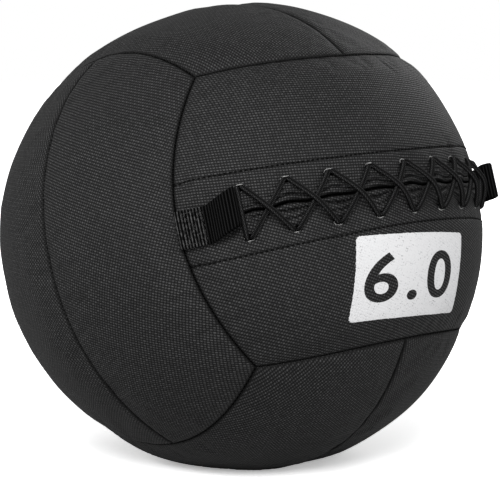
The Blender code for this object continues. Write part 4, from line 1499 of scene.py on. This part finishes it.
def round_tube(name: str, points: Sequence[Vector], radius: float, around: int, material: Finish) -> Piece:
    """Makes a round tube along a line, mapped once round and along it in metres.

    Args:
        name: the piece's name.
        points: the line, in even steps.
        radius: the tube's radius.
        around: how many corners a ring has.
        material: its finish.

    Returns:
        The piece.
    """
    tangents = [(b - a).normalized() for a, b in zip([points[0], *points], [*points[1:], points[-1]])]
    tangents[0], tangents[-1] = tangents[1], tangents[-2]
    side = tangents[0].orthogonal().normalized()
    rings = []
    for place, tangent in zip(points, tangents):
        side = (side - tangent * side.dot(tangent)).normalized()
        rings += ring(place, side, tangent.cross(side), radius, around)
    piece = turned_out(mesh_piece(name, rings, tube_faces(len(points), around, 0), material))
    lengths = distances_along(points)
    layer = piece.data.uv_layers.new(name="cloth")
    for polygon in piece.data.polygons:
        spots = [piece.data.loops[loop].vertex_index for loop in polygon.loop_indices]
        turns = [spot % around for spot in spots]
        wraps = max(turns) - min(turns) > around / 2
        for loop, spot, turn in zip(polygon.loop_indices, spots, turns):
            full = turn + around if wraps and turn < around / 2 else turn
            layer.data[loop].uv = (full / around, lengths[spot // around])
    return piece


# The straps


@dataclass
class Strap:
    """A loop of ribbed webbing sewn into the seam at one end of the lacing."""

    pattern: Pattern
    side: int
    skew: float = 0.0
    spring: float = 0.0
    drop: float = 0.0
    width: float = 25 * MM
    thickness: float = 1.6 * MM
    ply_gap: float = 0.1 * MM
    lift: float = 0.3 * MM
    sewn: float = 19 * MM
    root: float = 7 * MM
    bend: float = 4.5 * MM
    seam_draw: float = 3 * MM
    hinge_gap: float = 0.4 * MM
    eye_length: float = 20 * MM
    eye_rise: float = 7.2 * MM
    rib: float = 2.05 * MM
    rib_height: float = 0.34 * MM
    box_start: float = 5.5 * MM
    box_inset: float = 1.5 * MM
    zigzag_legs: int = 14
    zigzag_inset: float = 0.9 * MM
    zigzag_reach: float = 0.65 * MM
    box_gap: float = 2.5 * MM
    spring_reach: float = 4 * MM
    edge_round: float = 1.1 * MM
    worn_gap: float = 1.2 * MM

    @property
    def word(self) -> str:
        """The side's name."""
        return "left" if self.side < 0 else "right"

    @property
    def plies(self) -> float:
        """How thick both plies are together."""
        return 2 * self.thickness + self.ply_gap

    @property
    def hinge_reach(self) -> float:
        """How far from the seam the strap bends when it is lifted."""
        return self.sewn + self.hinge_gap + self.plies / 2

    def seam_along(self, distance: float) -> float:
        """Gives the place along the slit that lies that far from the seam."""
        return self.side * (self.pattern.run(1) - distance)

    def hinge(self) -> tuple[Vector, Matrix]:
        """Gives the hinge's place and its axes."""
        spot = (self.seam_along(self.hinge_reach), 0, self.lift + self.plies / 2)
        return self.pattern.closure_point(*spot), self.pattern.closure_axes(*spot)

    def place(self, distance: float, height: float, across: float) -> Vector:
        """Gives a place of the strap: its distance from the seam, its height and its place across."""
        across -= self.drop
        beyond = distance - self.hinge_reach
        if beyond <= 0:
            return self.pattern.closure_point(self.seam_along(distance), across, height)
        origin, axes = self.hinge()
        slide = self.skew * beyond / self.eye_length
        spring = self.spring * min(1.0, beyond / self.spring_reach)
        above = height - self.lift - self.plies / 2
        ahead = beyond * math.cos(spring) - above * math.sin(spring)
        above = beyond * math.sin(spring) + above * math.cos(spring)
        return origin + axes @ Vector((-self.side * ahead, across + slide, above))

    def middle_line(self) -> list[tuple[float, float]]:
        """Gives the middle of the webbing from its end in the seam, round the fold and back."""
        ply = (self.thickness + self.ply_gap) / 2
        middle = self.lift + self.plies / 2
        crest = math.sin(math.radians(120)) * math.sin(math.radians(60)) ** 2
        eye = []
        for step in range(41):
            angle = math.radians(26) + math.radians(308) * step / 40
            swell = self.eye_rise / 2 * math.sin(angle) * math.sin(angle / 2) ** 2 / crest
            rise = self.eye_rise / 2 if math.cos(angle) < -0.5 else abs(swell)
            across = rise + swell + ply * math.cos(angle / 2)
            eye.append((self.hinge_reach + self.eye_length * (1 - math.cos(angle)) / 2, middle + across))
        deep = -self.seam_draw - self.root
        flat = (1.5 * MM, 6 * MM, 11 * MM, self.sewn - self.bend)
        upper = [(-ply, deep), (-ply, -self.seam_draw)]
        upper += [(self.bend * 0.06, middle * 0.62), (self.bend * 0.62, middle + ply * 0.72)]
        upper += [(self.bend + distance, middle + ply) for distance in flat]
        lower = [(self.bend + distance, middle - ply) for distance in flat[::-1]]
        lower += [(self.bend * 0.72, -self.seam_draw * 0.1), (ply * 1.5, -self.seam_draw * 0.9), (ply, deep)]
        return upper + eye + lower

    def build(self, webbing: Finish) -> Piece:
        """Makes the strap as one ribbed ribbon, turned by its spring beyond the hinge."""
        line = smooth_line([Vector((*point, 0)) for point in self.middle_line()], 8)
        line = even_line(line, self.rib / 8)
        stations = [self.width * share for share in np.sin(np.linspace(-math.pi / 2, math.pi / 2, 17)) / 2]
        points, places, ribs, worn = [], [], [], []
        for order, (here, travelled) in enumerate(zip(line, distances_along(line))):
            before, after = line[max(0, order - 1)], line[min(len(line) - 1, order + 1)]
            run = (after - before).normalized()
            out = Vector((-run.y, run.x, 0))
            wave = math.cos(2 * math.pi * travelled / self.rib)
            for face, order_across in [(1, stations), (-1, stations[::-1])]:
                for across in order_across:
                    edge = min(1.0, (self.width / 2 - abs(across)) / self.edge_round)
                    thick = self.thickness / 2 * (0.55 + 0.45 * edge**0.5) + self.rib_height * wave * edge
                    spot = here + out * (face * (thick - self.rib_height))
                    points.append(self.place(spot.x, spot.y, across))
                    places.append((travelled, across))
                    ribs.append((wave + 1) / 2)
                    # Marks the upper face of the sewn stretch, which the webbing paints paler.
                    upper = face > 0 and here.y > 0
                    worn.append(1.0 if upper and here.x < self.sewn - self.worn_gap else 0.0)
        faces = tube_faces(len(line), 2 * len(stations), 0)
        piece = turned_out(mesh_piece(f"{self.word}_strap", points, faces, webbing))
        cloth_map(piece, np.array(places))
        point_values(piece, "rib", np.array(ribs))
        point_values(piece, "worn", np.array(worn))
        body = f"{self.word}_loop"
        origin, axes = self.hinge()
        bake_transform(piece)
        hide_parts(body, body + "_tab")
        LOG.info("%s: %d vertices, bends from ball to %s", piece.name, len(piece.data.vertices), body)
        return piece

    def box_rows(self) -> list[list[Vector]]:
        """Gives the rows of the box and cross sewn through the tab."""
        low, high = self.box_start, self.sewn - self.box_inset
        wide = self.width / 2 - self.box_gap
        corners = [(low, -wide), (low, wide), (high, wide), (high, -wide), (low, -wide)]
        legs = list(zip(corners, corners[1:])) + [((low, -wide), (high, wide)), ((low, wide), (high, -wide))]
        height = self.lift + self.plies + 0.12 * MM
        rows = []
        for (x, y), (far_x, far_y) in legs:
            shares = [step / 12 for step in range(13)]
            rows.append([self.place(x + (far_x - x) * s, height, y + (far_y - y) * s) for s in shares])
        zigzag = []
        for turn in range(self.zigzag_legs + 1):
            at = self.sewn - self.zigzag_inset + (self.zigzag_reach if turn % 2 else -self.zigzag_reach)
            zigzag.append(self.place(at, height, wide * (2 * turn / self.zigzag_legs - 1)))
        return [*rows, zigzag]


# The printed patch


@dataclass(frozen=True)
class Print:
    """How one outline is printed: above the cloth, with a ragged edge, stretched and moved to the right."""

    name: str
    lift: float
    ragged: float
    stretch: float = 1.0
    aside: float = 0.0


@dataclass
class Patch:
    """The white printed patch on the lower front panel, with a plain number on it."""

    pattern: Pattern
    middle: tuple[float, float] = (-2.2 * MM, -61.0 * MM)
    size: tuple[float, float] = (102.5 * MM, 57.5 * MM)
    tilt: float = math.radians(-4.3)
    corner: float = 3.2 * MM
    number: str = "6.0"
    number_height: float = 32.5 * MM
    number_boldness: float = 0.75 * MM
    first_cut: float = 0.71 * MM
    cut_step: float = 1.3 * MM
    ground_print: Print = Print("weight_patch", 0.1 * MM, 0.12 * MM)
    number_print: Print = Print("weight_number", 0.18 * MM, 0.03 * MM, 1.32, -2.5 * MM)

    def lay(self, way: Print, curve: bpy.types.Curve, surface: BVHTree, finish: Finish) -> Piece:
        """Lays a flat outline on the cover as a thin print.

        Args:
            way: how it is printed.
            curve: the filled outline, in metres round the patch's middle.
            surface: the outside of the cover.
            finish: its finish.

        Returns:
            The piece, with its cloth map on the cover's threads.
        """
        flat = settled_mesh(linked("outline", curve))
        bm = bmesh.new()
        bm.from_mesh(flat.data)
        bpy.data.objects.remove(flat)
        bmesh.ops.remove_doubles(bm, verts=bm.verts, dist=0.01 * MM)
        bmesh.ops.scale(bm, vec=(way.stretch, 1, 1), verts=bm.verts)
        for axis, reach in ((Vector((1, 0, 0)), self.size[0]), (Vector((0, 1, 0)), self.size[1])):
            for spot in np.arange(-reach / 2 + self.first_cut, reach / 2, self.cut_step):
                geometry = bm.verts[:] + bm.edges[:] + bm.faces[:]
                bmesh.ops.bisect_plane(bm, geom=geometry, plane_co=axis * float(spot), plane_no=axis)
        bm.verts.index_update()
        spots = np.array([vert.co[:2] for vert in bm.verts])
        middle = Vector((spots.min(axis=0) + spots.max(axis=0)) / 2)
        draw = np.random.default_rng(31)
        highs, lows, woven = [], [], []
        for vert in bm.verts:
            shift = Vector(draw.normal(size=2)) * way.ragged if vert.is_boundary else Vector((0, 0))
            turned = Matrix.Rotation(self.tilt, 2) @ (vert.co.xy - middle + shift + Vector((way.aside, 0)))
            rise = (self.middle[1] + turned.y) / self.pattern.radius
            turn = (self.middle[0] + turned.x) / (self.pattern.radius * math.cos(rise))
            target = self.pattern.closure_point(turn * self.pattern.radius, rise * self.pattern.radius, 0)
            ground, normal = Closure.ground(surface, target)
            highs.append(ground + normal * way.lift)
            lows.append(ground - normal * 0.15 * MM)
            along = -math.asin(math.sin(turn) * math.cos(rise))
            woven.append(Panel.FRONT_LOWER.woven(along, -rise) * self.pattern.radius)
        count = len(highs)
        faces = []
        for face in bm.faces:
            loop = [vert.index for vert in face.verts]
            loop = loop if face.normal.z > 0 else loop[::-1]
            faces += [tuple(loop), tuple(corner + count for corner in reversed(loop))]
            for a, b in zip(loop, loop[1:] + loop[:1]):
                bm.verts.ensure_lookup_table()
                if bm.edges.get((bm.verts[a], bm.verts[b])).is_boundary:
                    faces.append((b, a, a + count, b + count))
        bm.free()
        piece = mesh_piece(way.name, highs + lows, faces, finish)
        cloth_map(piece, np.array(woven + woven))
        # Far from every seam, so the number, which wears the cover's finish, gets none of its painted groove
        # shade.
        point_values(piece, "seam", np.full(2 * count, 1.0))
        return piece

    def build(self, surface: BVHTree, ink: Finish, cloth: Finish) -> list[Piece]:
        """Makes the patch and its number."""
        curve = bpy.data.curves.new("patch_outline", "CURVE")
        curve.dimensions, curve.fill_mode = "2D", "BOTH"
        spline = curve.splines.new("POLY")
        outline = []
        for east, north, start in ((1, 1, 0), (-1, 1, 90), (-1, -1, 180), (1, -1, 270)):
            for step in range(9):
                angle = math.radians(start + 90 * step / 8)
                x = east * (self.size[0] / 2 - self.corner) + self.corner * math.cos(angle)
                y = north * (self.size[1] / 2 - self.corner) + self.corner * math.sin(angle)
                outline += [x, y, 0.0, 1.0]
        spline.points.add(len(outline) // 4 - 1)
        spline.points.foreach_set("co", outline)
        spline.use_cyclic_u = True
        text = bpy.data.curves.new("number_outline", "FONT")
        text.body, text.align_x, text.align_y = self.number, "CENTER", "CENTER"
        text.size = self.number_height / 0.72
        text.offset = self.number_boldness
        text.space_character = 1.2
        patch = self.lay(self.ground_print, curve, surface, ink)
        return [patch, self.lay(self.number_print, text, surface, cloth)]


# What is inside


@dataclass(frozen=True)
class Inside:
    """The stiff strips, the tongue, the bag, the filling and the ballast."""

    pattern: Pattern
    levels: int = 2

    def build(self, finishes: dict[str, Finish]) -> None:
        """Makes every inner piece from its node, rounded."""
        soft = {"lower_filling": "fibre", "upper_filling": "fibre", "ballast_bag": "canvas"}
        firm = {
            "upper_facing": "facing",
            "lower_facing": "facing",
            "closure_tongue": "facing",
            "inner_bag": "liner",
            "ballast_shot": "shot",
            "ballast_tie": "tie",
        }
        for node, finish in {**soft, **firm}.items():
            piece = rounded_copy(node + "_form", node, finishes[finish], self.levels, self.pattern)
            slot = "braided_cord" if finish == "tie" else finish
            place_piece(piece, "ball", slot, node)


# The studio


@dataclass(frozen=True)
class Studio:
    """The floor, the lamps and the camera."""

    pattern: Pattern
    azimuth: float = math.radians(41.4)
    elevation: float = math.radians(5.3)
    distance: float = 1.305
    lens: float = 128.2
    aim_right: float = 6.4 * MM
    aim_down: float = 4.2 * MM
    floor_half: float = 30.0
    floor_grey: float = 0.52
    floor_white: float = 1.7
    dimmest: float = 0.34
    lamps: tuple[tuple[str, Triple, float, float], ...] = (
        ("key", (-2.1, -2.0, 1.85), 70.0, 1.2),
        ("front_fill", (0.6, -2.6, 1.0), 16.0, 1.6),
        ("left_rim", (-2.4, 1.4, 1.4), 24.0, 1.2),
        ("right_rim", (2.4, 0.6, 1.5), 12.0, 1.2),
    )

    def camera(self) -> None:
        """Sets the camera where the photograph was taken from."""
        level = math.cos(self.elevation)
        aside, ahead = math.sin(self.azimuth) * level, math.cos(self.azimuth) * level
        back = Vector((-aside, -ahead, math.sin(self.elevation)))
        spot = self.pattern.centre + back * self.distance
        right = Vector((0, 0, 1)).cross(back).normalized()
        up = back.cross(right)
        aim = self.pattern.centre + right * self.aim_right - up * self.aim_down
        data = bpy.data.cameras.new("camera")
        data.lens, data.sensor_width = self.lens, 36.0
        data.clip_start, data.clip_end = 0.05, 100.0
        made = linked("camera", data)
        made.location = spot
        made.rotation_euler = (spot - aim).to_track_quat("Z", "Y").to_euler()
        bpy.context.scene.camera = made

    def lamp(self, name: str, place: Triple, power: float, size: float) -> None:
        """Hangs one soft square lamp that looks at the ball."""
        data = bpy.data.lights.new(name, "AREA")
        data.shape, data.size, data.energy = "SQUARE", size, power
        made = linked(name, data)
        made.location = place
        made.rotation_euler = (Vector(place) - self.pattern.centre).to_track_quat("Z", "Y").to_euler()

    def world(self) -> None:
        """Makes the surroundings white to the camera and softer to the ball."""
        world = bpy.data.worlds.new("studio")
        bpy.context.scene.world = world
        world.use_nodes = True
        tree = world.node_tree
        back = tree.nodes["Background"]
        back.inputs["Color"].default_value = (1, 1, 1, 1)
        rays = tree.nodes.new("ShaderNodeLightPath")
        strength = tree.nodes.new("ShaderNodeMapRange")
        strength.inputs["To Min"].default_value = self.dimmest
        strength.inputs["To Max"].default_value = 1.0
        tree.links.new(rays.outputs["Is Camera Ray"], strength.inputs["Value"])
        tree.links.new(strength.outputs[0], back.inputs["Strength"])

    def floor(self) -> None:
        """Lays the pale floor, which shows white to the camera and keeps the ball's shadow."""
        half, low = self.floor_half, -0.1 * MM
        corners = [(-half, -half, low), (half, -half, low), (half, half, low), (-half, half, low)]
        paint = Paint("studio_floor")
        seen = paint.value(paint.node("ShaderNodeLightPath").outputs["Is Camera Ray"])
        colour = paint.mix(seen, (self.floor_grey,) * 3, (self.floor_white,) * 3)
        paint.finish(colour, 0.9, None, Specular_IOR_Level=0.0)
        reach = paint.node("ShaderNodeVectorMath", {"operation": "LENGTH"}, Vector=paint.object_place())
        bright = ((paint.value(reach.outputs[1]) - 0.35) / 0.8).held() * 0.75 + self.dimmest
        glow = paint.node("ShaderNodeEmission", Color=(1, 1, 1, 1), Strength=seen * bright)
        both = paint.node("ShaderNodeAddShader")
        paint.tree.links.new(paint.shader.outputs[0], both.inputs[0])
        paint.tree.links.new(glow.outputs[0], both.inputs[1])
        paint.tree.links.new(both.outputs[0], paint.tree.nodes["Material Output"].inputs["Surface"])
        mesh_piece("studio_floor", corners, [(0, 1, 2, 3)], paint.material)

    def build(self) -> None:
        """Sets up the whole studio."""
        bpy.context.scene.view_settings.view_transform = "Standard"
        self.camera()
        self.world()
        self.floor()
        for lamp in self.lamps:
            self.lamp(*lamp)


def main() -> None:
    """Dresses the frame, piece by piece."""
    logging.basicConfig(level=logging.INFO, format="%(message)s")
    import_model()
    pattern = Pattern()
    Studio(pattern).build()
    finishes = {
        "cloth": CoatedCloth().make(),
        "ink": PrintedInk().make(),
        "cord": BraidedCord().make(),
        "tie": BraidedCord("tie_cord").make(),
        "webbing": RibbedWebbing().make(),
        "seam_thread": SewingThread("seam_thread", (0.006, 0.006, 0.006)).make(),
        "row_thread": SewingThread("row_thread", (0.0015, 0.0015, 0.0015)).make(),
        "box_thread": SewingThread("box_thread", (0.045, 0.045, 0.045)).make(),
        "backing": PlainStuff("cut_backing", (0.20, 0.20, 0.20), (0.50, 0.50, 0.49), 1400.0, 0.2 * MM).make(),
        "foam": PlainStuff("foam", (0.20, 0.20, 0.21), (0.36, 0.36, 0.37), 700.0, 0.4 * MM).make(),
        "facing": PlainStuff("facing", (0.010, 0.010, 0.010), (0.030, 0.030, 0.030), 1100.0, 0.2 * MM).make(),
        "liner": PlainStuff("liner", (0.34, 0.33, 0.30), (0.50, 0.49, 0.46), 1300.0, 0.15 * MM).make(),
        "fibre": PlainStuff("fibre", (0.46, 0.44, 0.39), (0.72, 0.70, 0.65), 240.0, 1.5 * MM).make(),
        "canvas": PlainStuff("canvas", (0.26, 0.24, 0.19), (0.42, 0.40, 0.34), 1000.0, 0.3 * MM).make(),
        "shot": LooseShot().make(),
    }
    cover = Cover(pattern)
    panels = cover.build(finishes["cloth"], finishes["foam"])
    surface = cover.tree()
    closure = Closure(pattern, cover)
    closure.punch(panels[Panel.FRONT_UPPER], 1)
    closure.punch(panels[Panel.FRONT_LOWER], -1)
    for panel, piece in panels.items():
        place_piece(piece, "ball", "coated_cover", panel.node + "_panel")
    seams = Stitching(pitch=3.3 * MM, length=1.7 * MM, thread_radius=0.34 * MM, lay=Lay.ACROSS)
    sewn = seams.sew("seam_stitches", cover.seams(), pattern.centre, finishes["seam_thread"])
    place_piece(sewn, "ball", "coated_cover")
    beside, hems = closure.rows(surface)
    for name, stitching, rows in (
        ("closure_stitches", Stitching(pitch=3.4 * MM, length=2.1 * MM, thread_radius=0.6 * MM), beside),
        ("hem_stitches", Stitching(pitch=2.6 * MM, length=1.5 * MM, thread_radius=0.34 * MM), hems),
    ):
        place_piece(stitching.sew(name, rows, pattern.centre, finishes["row_thread"]), "ball", "coated_cover")
    place_piece(closure.edges(surface, finishes["backing"]), "ball", "facing")
    place_piece(closure.cord(finishes["cord"]), "ball", "braided_cord", "lacing_cord")
    straps = [
        Strap(pattern, -1, skew=8 * MM, drop=3.2 * MM),
        Strap(pattern, 1, skew=1.5 * MM, spring=math.radians(11)),
    ]
    for strap in straps:
        strap.build(finishes["webbing"])
    box = Stitching(pitch=2.1 * MM, length=1.7 * MM, thread_radius=0.26 * MM)
    boxes = [row for strap in straps for row in strap.box_rows()]
    sewn = box.sew("strap_stitches", boxes, pattern.centre, finishes["box_thread"])
    place_piece(sewn, "ball", "ribbed_webbing")
    for piece in Patch(pattern).build(surface, finishes["ink"], finishes["cloth"]):
        place_piece(piece, "ball", "coated_cover")
    Inside(pattern).build(finishes)


if __name__ == "__main__":
    main()
